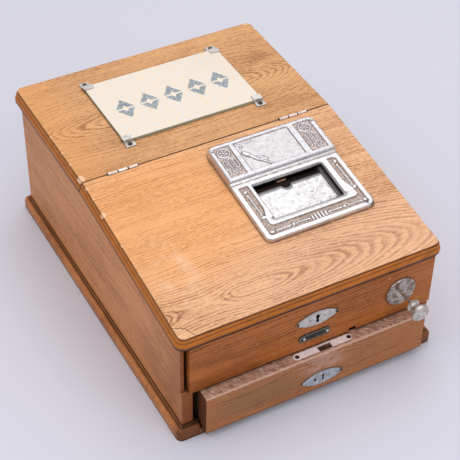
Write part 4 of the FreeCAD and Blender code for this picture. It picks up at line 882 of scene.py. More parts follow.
def key_plate_marks(tree, colour, point):
    """A keyhole painted black as its shade, two small screws and an engraved border."""
    x, _, z = split(tree, point)
    flat = scaled(tree, point, (1, 0, 1))
    below = calc(tree, "SUBTRACT", KEY_Z, z)
    half = calc(tree, "MULTIPLY_ADD", below, 0.10, 0.0012)
    slot = times(tree, calc(tree, "LESS_THAN", away(tree, x, KEY_X), half),
                 line_at(tree, below, 0.0042, 0.0042, 0.0003))
    bow = remap(tree, gap_to(tree, flat, (KEY_X, 0, KEY_Z)), 0.0025, 0.0029, 1.0, 0.0)
    screws = any_of(tree, *[remap(tree, gap_to(tree, flat, (KEY_X + side, 0, SCREW_Z)), 0.0010,
                                  0.0017, 1.0, 0.0) for side in SCREW_SIDES])
    border = line_at(tree, oval_reach(tree, point, PANEL_OVAL), OVAL_RADIUS - 2.1 * MM, 0.0001,
                     0.0005)
    # Painted shade: the keyhole's slot and bow go black.
    return layered(tree, colour, (border, 0.35, (110, 104, 104)), (screws, 0.75, (58, 44, 38)),
                   (any_of(tree, slot, bow), 1.0, (8, 6, 5)))


print("the keyhole's round end is at", (KEY_X, KEY_Z))

# %% Mark the hinges, the pins and the thumb wheel
HINGE_X, KNUCKLE, WHEEL_X, WHEEL_HALF = 0.1175, 0.0135, 0.051, 0.0064
BADGE_PINS_TOP = 0.100


def hinge_joints(tree, colour, point):
    """Painted shade: black gaps between the knuckles of both hinges."""
    along = away(tree, away(tree, split(tree, point)["X"], 0), HINGE_X)
    # Painted shade in the gaps between knuckles.
    gaps = any_of(tree, *[line_at(tree, along, place, 0.0006, 0.0004)
                          for place in (KNUCKLE / 2, KNUCKLE * 1.5)])
    return layered(tree, colour, (gaps, 1.0, (40, 22, 14)))


def pins_by_height(tree, colour, point):
    """The oval plate's pins are black; the badge's pins, lower down, are bright."""
    low = remap(tree, split(tree, point)["Z"], BADGE_PINS_TOP - 2 * MM, BADGE_PINS_TOP, 1.0, 0.0)
    return layered(tree, colour, (low, 1.0, (232, 230, 226)))


def copper_wheel(tree, colour, point):
    """Only the thumb wheel in the middle of the dark feed shaft is copper."""
    wheel = line_at(tree, split(tree, point)["X"], WHEEL_X, WHEEL_HALF, 0.0004)
    copper = mix(tree, noise(tree, point, 300), rgb(214, 160, 134), rgb(132, 82, 62))
    return mix(tree, wheel, colour, copper)


print("each hinge has knuckles", round(KNUCKLE / MM, 1), "mm long")

# %% Finish the fittings
DARK_PINS = {"Bright": (96, 86, 78), "Dull": (58, 50, 44), "Deposit": (30, 20, 14)}
FITTINGS = {
    "worn_nickel": ({"Speckle": 0.45}, None, ["sign_clips"]),
    "key_plate_nickel": ({"Speckle": 0.4}, key_plate_marks, ["panel_escutcheon"]),
    "blue_nickel": ({"Bright": (208, 214, 216), "Dull": (158, 166, 172), "Speckle": 0.4},
                    None, ["drawer_escutcheon"]),
    "knob_nickel": ({"Bright": (220, 214, 208), "Dull": (168, 159, 152), "Metal": 0.8,
                     "Deposit": (74, 58, 46), "Deposit Amount": 0.6, "Speckle": 0.35},
                    None, ["plunger_knob"]),
    "strip_nickel": ({"Bright": (255, 246, 246), "Dull": (240, 224, 222), "Speckle": 0.25,
                      "Metal": 0.1, "Deposit Amount": 0.3, "Reach": 0.001},
                     None, ["lock_strip"]),
    "dark_pins": (DARK_PINS, None, ["drawer_tacks", "sign_screws", "strip_screws"]),
    "panel_pins": (DARK_PINS, pins_by_height, ["panel_tacks"]),
    "feed_metal": ({"Bright": (44, 38, 34), "Dull": (26, 22, 20), "Metal": 0.3},
                   copper_wheel, ["feed_roller"]),
    "hinge_metal": ({"Bright": (255, 244, 236), "Dull": (212, 186, 172), "Speckle": 0.4,
                     "Deposit": (60, 32, 20), "Deposit Amount": 0.9, "Reach": 0.0014,
                     "Metal": 0.5}, hinge_joints,
                    ["hinge_leaves_case", "hinge_leaves_lid", "hinge_pins"]),
    "bolt_metal": ({"Bright": (150, 116, 102), "Dull": (96, 70, 60), "Speckle": 0.6,
                    "Metal": 0.5}, None, ["drawer_bolt"]),
    "rod_metal": ({"Bright": (206, 190, 178), "Dull": (150, 124, 108), "Speckle": 0.3},
                  None, ["plunger_rod"]),
    "bell_bronze": ({"Bright": (206, 176, 110), "Dull": (160, 126, 70),
                     "Deposit": (70, 50, 26)}, None, ["gong"]),
    "casting_screw_metal": ({"Bright": (190, 186, 182)}, None,
                            ["window_casting", "casting_screws"]),
    "dull_steel": ({"Bright": (140, 136, 130), "Dull": (92, 86, 80), "Deposit": (70, 44, 30)},
                   None, ["lid_bolt", "lid_lock_case", "drawer_lock_case", "drawer_keeper",
                          "drawer_spring", "plunger_guide", "plunger_spring", "bell_studs",
                          "bell_hammer", "ratchet_arm", "drawer_catch", "catch_bracket",
                          "paper_cheeks", "paper_tie_rods"])}
metals = {}
for name, (values, marks, wearers) in FITTINGS.items():
    metals[name] = plated_material(name, values, marks)
    coat_nodes(metals[name], *wearers)

# %% [markdown]
# ## The cast window
#
# The window on the lid is one casting with a raised plate behind a lower frame. Its relief is too
# fine for CAD solids, but it is all heights over a flat plate. So it is built as one sheet of
# small squares, each lifted to the height that a list of simple shapes gives it: rounded slabs,
# sunk fields, bars, balls, rings and petals. Sculpting by hand would look the same and could not
# be changed by a number. Dirt collects where the sheet is lower than its own blurred copy, so
# that difference is stored on the mesh and the finish reads it.

# %% Helpers for relief
def on_lid(x, run, height):
    """A point on the lid in metres, from millimetres right, down the slope and above it."""
    y = HINGE_Y - run * math.cos(LID_SLOPE) - height * math.sin(LID_SLOPE)
    z = LID_TOP - run * math.sin(LID_SLOPE) + height * math.cos(LID_SLOPE)
    return x * MM, y * MM, z * MM


def corner_distance(past_x, past_run, corner):
    """How far points lie outside a rounded corner, from how far each is past its two edges."""
    dx, dy = past_x + corner, past_run + corner
    outside = np.hypot(np.maximum(dx, 0), np.maximum(dy, 0))
    return outside + np.minimum(np.maximum(dx, dy), 0) - corner


def slab_distance(x, run, left, right, rear, front, corner):
    """How far points lie outside a rounded rectangle; negative inside."""
    return corner_distance(np.abs(x - (left + right) / 2) - (right - left) / 2,
                           np.abs(run - (rear + front) / 2) - (front - rear) / 2, corner)


def step(value, low, high):
    """A smooth rise from 0 to 1."""
    share = np.clip((value - low) / (high - low), 0, 1)
    return share * share * (3 - 2 * share)


def half_round(gap, radius):
    """The height of a round bar's surface at a distance from its middle line."""
    return np.sqrt(np.maximum(radius ** 2 - gap ** 2, 0))


def bar_lift(x, run, start, end, radius):
    """The height of a half-round bar from start to end, seen over each point."""
    (ax, ay), (bx, by) = start, end
    length = (bx - ax) ** 2 + (by - ay) ** 2
    share = np.clip(((x - ax) * (bx - ax) + (run - ay) * (by - ay)) / max(length, 1e-9), 0, 1)
    return half_round(np.hypot(x - ax - share * (bx - ax), run - ay - share * (by - ay)), radius)


def raise_bars(lift, x, run, bars):
    """Lay half-round bars over a relief. Each is a start, an end, a radius and a flattening."""
    for start, end, radius, flat in bars:
        lift = np.maximum(lift, bar_lift(x, run, start, end, radius) * flat)
    return lift


def ring_lift(x, run, centre, radius, thick):
    """The height of a half-round ring, seen over each point."""
    return half_round(np.abs(np.hypot(x - centre[0], run - centre[1]) - radius), thick)


def edge_round(depth, height, radius):
    """A height that falls away in a quarter circle within radius of an edge."""
    return height - radius + half_round(np.clip(radius - depth, 0, radius), radius)


print("the lid's hinge line is at", [round(v, 4) for v in on_lid(0, 0, 0)])

# %% Relief on the raised plate
FLOWER_RUN, FLOWER_X, RING_RADIUS, RING_THICK = 34.2, (-0.2, 112.9), 7.5, 1.35
STEMS = ((-6.6, 47.0, 64.0), (0.0, 45.0, 68.5), (6.6, 47.0, 64.0))
HAND_AND_PEN = (  # a cuff, a hand and a long pen, then a scroll in the field's rear corner
    ((22.8, 43.4), (26.5, 48.5), 3.1, 0.8), ((26, 48), (35, 60), 2.3, 0.8),
    ((33, 58), (46.8, 72.0), 1.3, 1.1), ((37, 60), (43.5, 62), 2.1, 0.7),
    ((35, 56), (42, 58), 1.4, 0.7), ((42, 63), (44, 67.5), 1.2, 0.7),
    ((20, 27), (26, 31), 1.2, 0.5), ((26, 31), (21, 37), 1.1, 0.5),
    ((29, 27), (36, 29.5), 1.1, 0.5), ((36, 29.5), (41, 27.5), 0.9, 0.5))


def flower_bars(centre):
    """A flower's eye and six petals, with three budded stems hanging from it, all as bars."""
    bars = [((0, FLOWER_RUN), (0, FLOWER_RUN), 1.9, 0.7)]
    for angle in np.radians(np.arange(30, 390, 60)):
        root, tip = [(reach * math.cos(angle), FLOWER_RUN - reach * math.sin(angle))
                     for reach in (3.1, 4.8)]
        bars.append((root, tip, 1.2, 0.7))
    for side, neck, bud in STEMS:
        bars.append(((side * 0.4, 43.0), (side, neck), 0.95, 1.0))
        bars.append(((side, bud), (side, bud + 1.5), 1.7, 0.8))
        for way in (-1, 1):
            rail = side + way * 1.5
            bars.append(((rail, neck), (rail, bud - 4), 0.75, 1.0))
            bars.append(((side, bud - 2.0), (side + way * 2.6, bud - 4.5), 0.8, 1.0))
    return [((centre + ax, ay), (centre + bx, by), radius, flat)
            for (ax, ay), (bx, by), radius, flat in bars]


def plate_lift(x, run):
    """A ringed flower in each side field, and the hand in the middle field."""
    lift = raise_bars(np.zeros_like(x), x, run, HAND_AND_PEN)
    for centre in FLOWER_X:
        ring = ring_lift(x, run, (centre, FLOWER_RUN), RING_RADIUS, RING_THICK) * 0.9
        lift = raise_bars(np.maximum(lift, ring), x, run, flower_bars(centre))
    return lift


print("each flower is", len(flower_bars(0)), "bars in a ring")

# %% Relief in the channel
CHANNEL = (-9.6, 125.4, 88.5, 169.5, 3.0)
CHANNEL_BARS = (((-3.9, 103), (-3.0, 136)), ((120.8, 102), (120.9, 137)),
                ((1.8, 164.4), (20.1, 164.2)), ((28.6, 164), (46, 164)),
                ((73, 164), (88.6, 164.2)), ((99.4, 164.4), (117.5, 164.6)))
CHANNEL_BALLS = ((-3.7, 97.2, 2.5), (-3.0, 141.1, 2.7), (121.5, 95.8, 2.5), (121.3, 142.0, 2.6),
                 (-3.8, 165.0, 2.2), (122.1, 165.0, 2.4), (24.3, 164.2, 2.3), (94.0, 164.2, 2.3))
FLUTES, FLUTE_RUN = ((49.8, 2.6), (54.3, 4.0), (58.8, 4.6), (63.3, 4.0), (67.8, 2.6)), 164.4
CHANNEL_PARTS = (
    *((start, end, 1.25, 1.15) for start, end in CHANNEL_BARS),
    *((tip, tip, 1.7, 0.9) for bar in CHANNEL_BARS for tip in bar),
    *(((x, run), (x, run), radius, 0.9) for x, run, radius in CHANNEL_BALLS),
    *(((x, FLUTE_RUN - reach), (x, FLUTE_RUN + reach), 1.45, 1.25) for x, reach in FLUTES))


def channel_lift(x, run):
    """Rods between balls on three sides of the window, and five flutes at the front."""
    return raise_bars(np.zeros_like(x), x, run, CHANNEL_PARTS)


print("the channel holds", len(CHANNEL_BARS), "rods and", len(CHANNEL_BALLS), "balls")

# %% Heights of the casting
LOW, HIGH = 6.0, 12.0
OUTER = (-16.0, 131.5, 18.5, 175.5, 8.0)
WINDOW = (9.0, 105.0, 90.5, 145.5, 1.5)
PANELS = ((-11.0, 11.6, 23.8, 75.0), (17.2, 93.6, 23.8, 74.0), (101.4, 124.8, 23.8, 75.0))
BOSSES, BOSS_RADIUS = ((-12.5, 26), (128, 26)), 3.1
STEP_RUN, COVE_LENGTH, COVE_DROP, FRAME_RUN, FRONT_BAR = 80.0, 4.5, 3.2, 86, 146.0
CHANNEL_DEPTH, PANEL_DEPTH, BEVEL_DEPTH = 1.5, 1.15, 3.6
RIM_MIDDLE, RIM_HALF, RIM_FRONT, RIM_FLARE = 58.75, 54.75, 155.5, 5.0


def rim_distance(x, run):
    """How far points lie outside the window's inner rim, which flares at its front corners."""
    half = RIM_HALF + RIM_FLARE * step(run, 126.0, FRONT_BAR)
    return corner_distance(np.abs(x - RIM_MIDDLE) - half, run - RIM_FRONT, RIM_FLARE)


def casting_height(x, run):
    """The casting's top over the lid, and how much of it is a sunk ground."""
    inside = -slab_distance(x, run, *OUTER)
    low = edge_round(inside, LOW, 1.6)
    high = edge_round(np.minimum(inside, STEP_RUN - run), HIGH, 2.4)
    cove = np.clip((STEP_RUN + COVE_LENGTH - run) / COVE_LENGTH, 0, 1)
    top = np.where(run < STEP_RUN, high, low + (HIGH - COVE_DROP - LOW) * cove ** 2)
    channel = np.minimum(-slab_distance(x, run, *CHANNEL), rim_distance(x, run))
    sunk = step(channel, 0.0, 0.8)
    rods = channel_lift(x, run)
    top = top - CHANNEL_DEPTH * sunk + rods * (channel > -0.3)
    for left, right, rear, front in PANELS:
        field = -slab_distance(x, run, left, right, rear, front, 1.0)
        ground = step(field, 0.0, 0.6)
        top = top - PANEL_DEPTH * ground
        sunk = np.maximum(sunk, ground)
    lift = plate_lift(x, run)
    bevel = slab_distance(x, run, *WINDOW)
    lip = 1.4 + 4.4 * step(run, FRONT_BAR - 2.5, FRONT_BAR)
    slope = LOW - BEVEL_DEPTH * np.clip(1 - bevel / lip, 0, 1) ** 1.2
    groove = 0.5 * step(-np.abs(bevel - lip), -0.7, 0.0) * (run > FRONT_BAR)
    top = np.where(run > FRAME_RUN, np.minimum(top, slope) - groove, top + lift)
    boss = np.minimum(*[np.hypot(x - cx, run - cy) for cx, cy in BOSSES])
    hand_field = (x > 17) & (x < 94) & (run < STEP_RUN)
    bare = (boss > BOSS_RADIUS) & (np.maximum(lift, rods) < 0.25)
    ground = sunk * (1 - 0.75 * hand_field) * bare
    return np.where(boss < BOSS_RADIUS, HIGH - 0.05, top), ground


sample, _ = casting_height(np.array([50.0, 50.0, -12.0]), np.array([50.0, 100.0, 120.0]))
print("plate, window edge and rim stand", [round(float(v), 2) for v in sample], "mm high")

# %% Helpers for the casting's grid
def snapped_lines(low, high, pitch, keep):
    """Grid lines from low to high at a pitch, with lines exactly at the kept places."""
    lines = set(np.round(np.arange(low, high, pitch), 3)) | {low, high}
    lines = {v for v in lines if min(abs(v - k) for k in keep) > pitch * 0.45} | set(keep)
    return np.array(sorted(lines))


def blurred(values, reach):
    """The average of each value and its neighbours in a square."""
    total = np.zeros_like(values)
    for dx in range(-reach, reach + 1):
        for dy in range(-reach, reach + 1):
            total += np.roll(values, (dx, dy), (0, 1))
    return total / (2 * reach + 1) ** 2


def rounded_corners(x, run):
    """Pull the grid's four corners in, on to the casting's round corners."""
    left, right, rear, front, corner = OUTER
    for cx in (left + corner, right - corner):
        for cy in (rear + corner, front - corner):
            past = (((x - cx) * (cx - (left + right) / 2) > 0)
                    & ((run - cy) * (cy - (rear + front) / 2) > 0))
            gap = np.hypot(x - cx, run - cy)
            pull = np.where(past & (gap > corner), corner / np.maximum(gap, 1e-6), 1.0)
            x, run = cx + (x - cx) * pull, cy + (run - cy) * pull
    return x, run


def open_edges(mesh):
    """The edges with a face on one side only."""
    return [e for e in mesh.edges if e.is_boundary]


def skirt_verts(mesh):
    """Extrude every open edge, and give the new vertices so that they can be moved."""
    made = bmesh.ops.extrude_edge_only(mesh, edges=open_edges(mesh))["geom"]
    return [part for part in made if isinstance(part, bmesh.types.BMVert)]


def drop_skirt(mesh):
    """Turn every open edge down to the lid and close the foot."""
    foot = Vector(on_lid(0, 0, 0.05))
    for vert in skirt_verts(mesh):
        vert.co -= LID_UP * (vert.co - foot).dot(LID_UP)
    bmesh.ops.triangle_fill(mesh, edges=open_edges(mesh), use_beauty=True)
    bmesh.ops.recalc_face_normals(mesh, faces=mesh.faces)


print("the casting's grid is bent to round corners of", OUTER[4], "mm")

# %% Build the casting
GRID_PITCH, COVE_RUN = 0.55, 83.4


def casting_dirt(x, run, heights, sunk):
    """How much brown deposit lies at each point: low spots, sunk grounds and the cove."""
    crevice = np.clip((blurred(heights, 2) - heights) / 0.45, 0, 1)
    deep = ((np.abs(run - STEP_RUN) > 7) & (slab_distance(x, run, *WINDOW) > 1.2)
            & (slab_distance(x, run, *OUTER) < -1.8))
    cove = 0.75 * np.exp(-((run - COVE_RUN) / 0.9) ** 2)
    bed = sunk * (run > FRAME_RUN) * (channel_lift(x, run) < 0.2)
    return np.clip(crevice * deep * 1.3 + bed * 0.5 + cove, 0, 1)


def casting_mesh():
    """The casting as one sheet of small squares, with its opening and a skirt."""
    left, right, rear, front, _ = OUTER
    xs = snapped_lines(left, right, GRID_PITCH, [left, right, WINDOW[0], WINDOW[1]])
    runs = snapped_lines(rear, front, GRID_PITCH, [rear, front, WINDOW[2], WINDOW[3],
                                                   STEP_RUN - 0.02, STEP_RUN + 0.02])
    px, prun = rounded_corners(*np.meshgrid(xs, runs, indexing="ij"))
    heights, sunk = casting_height(px, prun)
    recess = casting_dirt(px, prun, heights, sunk)
    mesh = bmesh.new()
    layer = mesh.verts.layers.float.new("recess")
    ground = mesh.verts.layers.float.new("ground")
    verts = [[mesh.verts.new(on_lid(*spot)) for spot in zip(*columns)]
             for columns in zip(px, prun, heights)]
    for column, values, fields in zip(verts, recess, sunk):
        for vert, value, field in zip(column, values, fields):
            vert[layer], vert[ground] = value, field
    for i in range(len(xs) - 1):
        for j in range(len(runs) - 1):
            mx, mr = (xs[i] + xs[i + 1]) / 2, (runs[j] + runs[j + 1]) / 2
            if WINDOW[0] < mx < WINDOW[1] and WINDOW[2] < mr < WINDOW[3]:
                continue
            mesh.faces.new((verts[i][j], verts[i][j + 1], verts[i + 1][j + 1], verts[i + 1][j]))
    bmesh.ops.delete(mesh, geom=[v for v in mesh.verts if not v.link_faces], context="VERTS")
    bmesh.ops.dissolve_degenerate(mesh, dist=1e-6, edges=mesh.edges)
    drop_skirt(mesh)
    return mesh


def fixed_order(parts, place):
    """Sort vertices or faces by place, since some mesh tools list them in any order."""
    rank = {part: k for k, part in enumerate(sorted(parts, key=place))}
    parts.sort(key=rank.get)


def mesh_object(mesh, name, material):
    """Turn a bmesh into an object with one material."""
    fixed_order(mesh.verts, lambda vert: tuple(vert.co))
    fixed_order(mesh.faces, lambda face: tuple(face.calc_center_median()))
    data = bpy.data.meshes.new(name)
    mesh.to_mesh(data)
    mesh.free()
    data.materials.append(material)
    print(name, "has", len(data.polygons), "faces")
    return new_object(name, data)


def finish_piece(mesh, name, material, body, *, replaces=(), smooth=True):
    """Turn a bmesh into an object that rides on a body."""
    piece = mesh_object(mesh, name, material)
    if smooth:
        piece.data.shade_smooth()
        piece.data.set_sharp_from_angle(angle=math.radians(50))
    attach(piece, body)
    if replaces:
        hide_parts(*replaces)
    return piece

# %% Finish the casting
OPENING_MIDDLE, OPENING_HALF = (0.057, -0.0943), (0.04808, 0.02760)
WORN_CORNER = (127.5, 171.0, 5.0)


def worn_and_shaded_casting(tree, colour, point):
    """Granular grounds, a duller rear plate, painted shade in the opening and a blue-black front
    corner.
    """
    x, y, _ = split(tree, point)
    rear = times(tree, remap(tree, y, -0.0580, -0.0570), 0.9)
    colour = mix(tree, rear, colour, rgb(234, 234, 238), "MULTIPLY")
    grains = patches(tree, point, (0.36, 0.60), 620, detail=3, rough=0.75)
    grainy = mix(tree, grains, rgb(206, 188, 176), rgb(112, 80, 62))
    colour = mix(tree, times(tree, mesh_mask(tree, "ground"), 0.7), colour, grainy)
    # Painted shade: the opening's inner walls go nearly black.
    walls = times(tree, line_at(tree, x, OPENING_MIDDLE[0], OPENING_HALF[0], 0.0001),
                  line_at(tree, y, OPENING_MIDDLE[1], OPENING_HALF[1], 0.0002),
                  remap(tree, above_face(tree, point, LID_UP), 0.0021, 0.0023, 1.0, 0.0))
    patch = times(tree, near(tree, point, on_lid(*WORN_CORNER), (0.011, 0.007, 0.012)),
                  patches(tree, point, (0.30, 0.50), 160, detail=3))
    return layered(tree, colour, (walls, 1.0, (26, 18, 14)), (patch, 1.0, (74, 68, 84)))


window_metal = plated_material("window_metal", {
    "Bright": (230, 228, 229), "Dull": (208, 205, 205), "Deposit": (104, 66, 46),
    "Deposit Amount": 1.0, "Reach": 0.0003, "Speckle": 0.15, "Speckle Scale": 900.0,
    "Polish": 0.06}, worn_and_shaded_casting, bump=0.2, recess="recess")
finish_piece(casting_mesh(), "ornate_window", window_metal, "lid",
             replaces=["window_casting"])

# %% [markdown]
# ## The window's lining
#
# A thin lip hangs inside the opening and hides the raw edge of the lid: a flat ledge at each side
# and a wall at the rear. Both are dark, and painted darker still as the shade inside the opening.

# %% Build the lining
LINING_TOP = -0.15
LINING_BOXES = ((8.0, 10.9, 89.0, 146.0, -2.6), (99.3, 106.2, 89.0, 146.0, -2.6),
                (8.0, 106.2, 87.6, 89.6, -3.0))
BOX_QUADS = ((3, 2, 1, 0), (4, 5, 6, 7), (0, 1, 5, 4), (1, 2, 6, 5), (2, 3, 7, 6), (3, 0, 4, 7))


def ease_edges(mesh, width):
    """Turn all faces outwards and round every edge a little."""
    bmesh.ops.recalc_face_normals(mesh, faces=mesh.faces)
    bmesh.ops.bevel(mesh, geom=mesh.edges[:], offset=width * MM, segments=2, affect="EDGES")


def lining_mesh():
    """Ledges and a rear wall inside the window, as thin closed boxes."""
    mesh = bmesh.new()
    for left, right, rear, front, low in LINING_BOXES:
        corners = [mesh.verts.new(on_lid(x, run, h)) for h in (low, LINING_TOP)
                   for x, run in ((left, rear), (right, rear), (right, front), (left, front))]
        for quad in BOX_QUADS:
            mesh.faces.new([corners[k] for k in quad])
    ease_edges(mesh, 0.3)
    return mesh


def shaded_lining(tree, colour, point):
    """Painted shade: the rear wall is black, and the right ledge darkens away from the plate."""
    x, y, _ = split(tree, point)
    # Painted shade inside the window's opening.
    dark = any_of(tree, remap(tree, y, -0.0812, -0.0700), remap(tree, x, 0.0975, 0.1030))
    return layered(tree, colour, (dark, 1.0, (30, 21, 17)))


lining_metal = plated_material("lining_metal", {
    "Bright": (150, 144, 144), "Dull": (110, 104, 104), "Deposit": (20, 15, 12),
    "Reach": 0.002, "Deposit Amount": 0.6, "Metal": 0.1}, shaded_lining)
finish_piece(lining_mesh(), "window_lining", lining_metal, "lid",
             smooth=False)

# %% [markdown]
# ## The writing plate
#
# The plate under the window is where the clerk writes through the paper. Its rear edge is rolled
# down so that the paper slides over it, and is dented in front of the thumb wheel. A rolled edge
# needs small faces, so the plate is built here, column by column. Its plating is pitted with dark
# spots, and its rolled edge and right side are painted grey as shade. A flat black guide lies
# behind it and hides most of the thumb wheel; its black stands in for the shade there.

# %% Build the writing plate
PLATE_SIDES, PLATE_REAR, PLATE_FRONT, PLATE_TOP = (11.9, 98.7), 96.6, 145.6, -1.05
ROLL, DENT_DEEP, DENT_HALF = 5.0, 5.2, 6.6


def join_rows(mesh, first, second):
    """Fill the faces between two rows of vertices."""
    for k in range(len(first) - 1):
        mesh.faces.new((first[k], first[k + 1], second[k + 1], second[k]))


def plate_mesh():
    """A thin plate whose rear edge rolls down, with a dent in front of the thumb wheel."""
    mesh = bmesh.new()
    layer = mesh.verts.layers.float.new("roll")
    turns = [math.radians(a) for a in range(90, -1, -10)]
    columns = []
    for x in np.linspace(*PLATE_SIDES, 125):
        off_wheel = (x - WHEEL_X / MM) / DENT_HALF
        rear = PLATE_REAR + DENT_DEEP * math.sqrt(max(1 - off_wheel ** 2, 0))
        line = [(rear + ROLL - ROLL * math.sin(a), PLATE_TOP - ROLL + ROLL * math.cos(a))
                for a in turns]
        line += [(run, PLATE_TOP) for run in np.linspace(rear + ROLL + 1, PLATE_FRONT, 14)]
        line += [(PLATE_FRONT + 1, -1.5), (PLATE_FRONT + 1.3, -6.5)]
        column = [mesh.verts.new(on_lid(x, *spot)) for spot in line]
        for vert, (run, _) in zip(column, line):
            vert[layer] = min(max(1 - (run - rear) / 8.0, 0), 1)
        columns.append(column)
    for this, following in zip(columns, columns[1:]):
        join_rows(mesh, this, following)
    bmesh.ops.recalc_face_normals(mesh, faces=mesh.faces)
    if sum(f.normal.z for f in mesh.faces) < 0:
        bmesh.ops.reverse_faces(mesh, faces=mesh.faces)
    bmesh.ops.solidify(mesh, geom=mesh.faces[:], thickness=0.8 * MM)
    return mesh


print("the plate is", round(PLATE_SIDES[1] - PLATE_SIDES[0], 1), "mm wide")

# %% Build the paper guide
GUIDE_OUTLINE = ((12.2, 91.4), (98.4, 91.4), (98.4, 96.4), (57.2, 96.4), (55.2, 99.6),
                 (51, 101.2), (46.8, 99.6), (44.8, 96.4), (12.2, 96.4))
GUIDE_HEIGHTS = (-4.5, -3.7)


def guide_mesh():
    """A flat guide behind the rolled edge, with a tongue that fills the dent."""
    mesh = bmesh.new()
    lower, upper = [[mesh.verts.new(on_lid(x, run, height)) for x, run in GUIDE_OUTLINE]
                    for height in GUIDE_HEIGHTS]
    mesh.faces.new(lower)
    mesh.faces.new(upper)
    join_rows(mesh, lower + lower[:1], upper + upper[:1])
    ease_edges(mesh, 0.2)
    return mesh


def shade_black_guide(tree, colour, point):
    """Black standing in for the shade behind the plate, gone brown at the left."""
    brown = remap(tree, split(tree, point)["X"], 0.070, 0.015)
    return layered(tree, colour, (brown, 0.7, (40, 24, 14)))


# Painted shade: a black sheet where the plate's rear edge lies in shade.
guide_metal = plated_material("guide_shade_black", {
    "Bright": (16, 12, 10), "Dull": (26, 18, 14), "Speckle": 0.2, "Metal": 0.0}, shade_black_guide)
guide_metal.node_tree.nodes["Principled BSDF"].inputs["Specular IOR Level"].default_value = 0.1
finish_piece(guide_mesh(), "paper_guide", guide_metal, "case", smooth=False)

# %% Finish the writing plate
material, tree, shader, point, _ = start_material("writing_plate_metal")
made = use_group(tree, plate, {
    "Point": point, "Bright": (230, 228, 228), "Dull": (200, 196, 195), "Speckle": 0.3,
    "Speckle Scale": 500.0, "Deposit Amount": 0.3, "Metal": 0.7})
cloudy = noise(tree, point, 60, detail=4)
rolled = calc(tree, "MULTIPLY_ADD", cloudy, 0.3, mesh_mask(tree, "roll"))
right_side = calc(tree, "MULTIPLY_ADD", cloudy, 0.004, split(tree, point)["X"])
# Painted shade: the rolled edge and the right side go grey.
grey = any_of(tree, times(tree, remap(tree, rolled, 0.15, 0.40), 0.85),
              times(tree, remap(tree, right_side, 0.096, 0.101), 0.6))
spots = times(tree, patches(tree, point, (0.61, 0.64), 330, detail=3, rough=0.6),
              patches(tree, point, (0.38, 0.52), 26, detail=1))
feed(tree, shader, {
    "Base Color": layered(tree, made["Color"], (grey, 1.0, (96, 94, 98)),
                          (spots, 0.8, (56, 46, 42))),
    "Metallic": times(tree, made["Metal"], calc(tree, "SUBTRACT", 1.0, spots)),
    "Roughness": made["Roughness"]})
finish_piece(plate_mesh(), "writing_face", material, "case",
             replaces=["writing_plate"])

# %% [markdown]
# ## The sign plate
#
# The plate on the top is stippled glass over cream paper. Its stencilled device is a row of plain
# lozenges in blue-grey: fractions of the position repeat one lozenge five times, and noise breaks
# the paint up, as the stipple does. The cut edge of the glass is green.

# %% Finish the sign plate
ROW_LEFT, ROW_MIDDLE, LOZENGE_PITCH, LOZENGE_HALF, LOZENGES = -0.0815, 0.1270, 0.0335, 0.0205, 5

material, tree, shader, point, outward = start_material("stippled_glass")
x, y, _ = split(tree, point)
cell = calc(tree, "DIVIDE", calc(tree, "SUBTRACT", x, ROW_LEFT), LOZENGE_PITCH)
inner = away(tree, calc(tree, "FRACT", cell), 0.5)
rise = calc(tree, "DIVIDE", away(tree, y, ROW_MIDDLE), LOZENGE_HALF)
shape = calc(tree, "ADD", times(tree, inner, 2.45), rise)
stipple = noise(tree, point, 900, detail=2)
broken = calc(tree, "MULTIPLY_ADD", calc(tree, "SUBTRACT", stipple, 0.5), 0.5, shape)
row = times(tree, calc(tree, "GREATER_THAN", cell, 0.0),
            calc(tree, "LESS_THAN", cell, float(LOZENGES)))
paint = times(tree, remap(tree, broken, 0.94, 1.0, 1.0, 0.0), row,
              remap(tree, rise, 0.05, 0.09), remap(tree, shape, 0.30, 0.36))
flecks = patches(tree, point, (0.40, 0.58), 380, detail=4, rough=0.65)
ground = mix(tree, flecks, rgb(240, 214, 180), rgb(226, 221, 215))
inked = mix(tree, flecks, rgb(104, 118, 128), rgb(160, 168, 170))
edge = calc(tree, "SUBTRACT", 1.0, face_mask(tree, outward))
relief = add(tree, "Bump", {"Strength": 0.35, "Distance": 0.4 * MM, "Height": stipple})
feed(tree, shader, {
    "Base Color": layered(tree, mix(tree, paint, ground, inked), (edge, 0.8, (142, 158, 132))),
    "Normal": relief.outputs[0], "Roughness": 0.22, "Coat Weight": 0.4, "Coat Roughness": 0.08})
coat_nodes(material, "sign_plate")

# %% [markdown]
# ## Rosette and badge
#
# The round plate behind the knob is flat enough to mirror the rod, and two brown reflections are
# painted on it, left and right of the rod. It has a beaded rim and four groups of shallow leaves.
# It is a height over a disc, so it is built like the window, but on rings and spokes. The badge
# stays blank: black paint inside a bare rim.

# %% Build the rosette
ROD_X, ROD_Z, PANEL_FACE = 121.5, 106.0, -230.5
BEAD_RADIUS, FLAT_RADIUS, BEADS, SPOKES = 18.6, 18.7, 40, 144
RADII = np.concatenate((np.linspace(2.45, 18.4, 40), np.linspace(FLAT_RADIUS, 20.5, 8)))
REFLECTION_SIDES = (-9.5, 9.5)


def rosette_height(radius, angle):
    """How far the pressed plate stands off the panel, in millimetres."""
    beads = 0.7 + 0.3 * np.cos(BEADS * angle)
    rim = half_round(radius - BEAD_RADIUS, 1.1) * beads * 0.5
    leaf = np.cos(2 * angle) ** 2 * np.maximum(np.sin(10 * angle + 0.7 * (radius - 12)), 0) ** 0.6
    band = step(radius, 9.0, 10.0) * step(radius, 16.6, 15.6)
    ring = half_round(radius - 8.0, 0.5) * 0.5
    edge = np.sqrt(np.clip(1 - ((radius - FLAT_RADIUS) / 1.8) ** 2, 0, 1))
    height = 2.4 + np.maximum(np.maximum(rim, ring), leaf * band * 0.4)
    height = np.where(radius > FLAT_RADIUS, 0.4 + (height - 0.4) * edge, height)
    return np.minimum(height, 3.45)


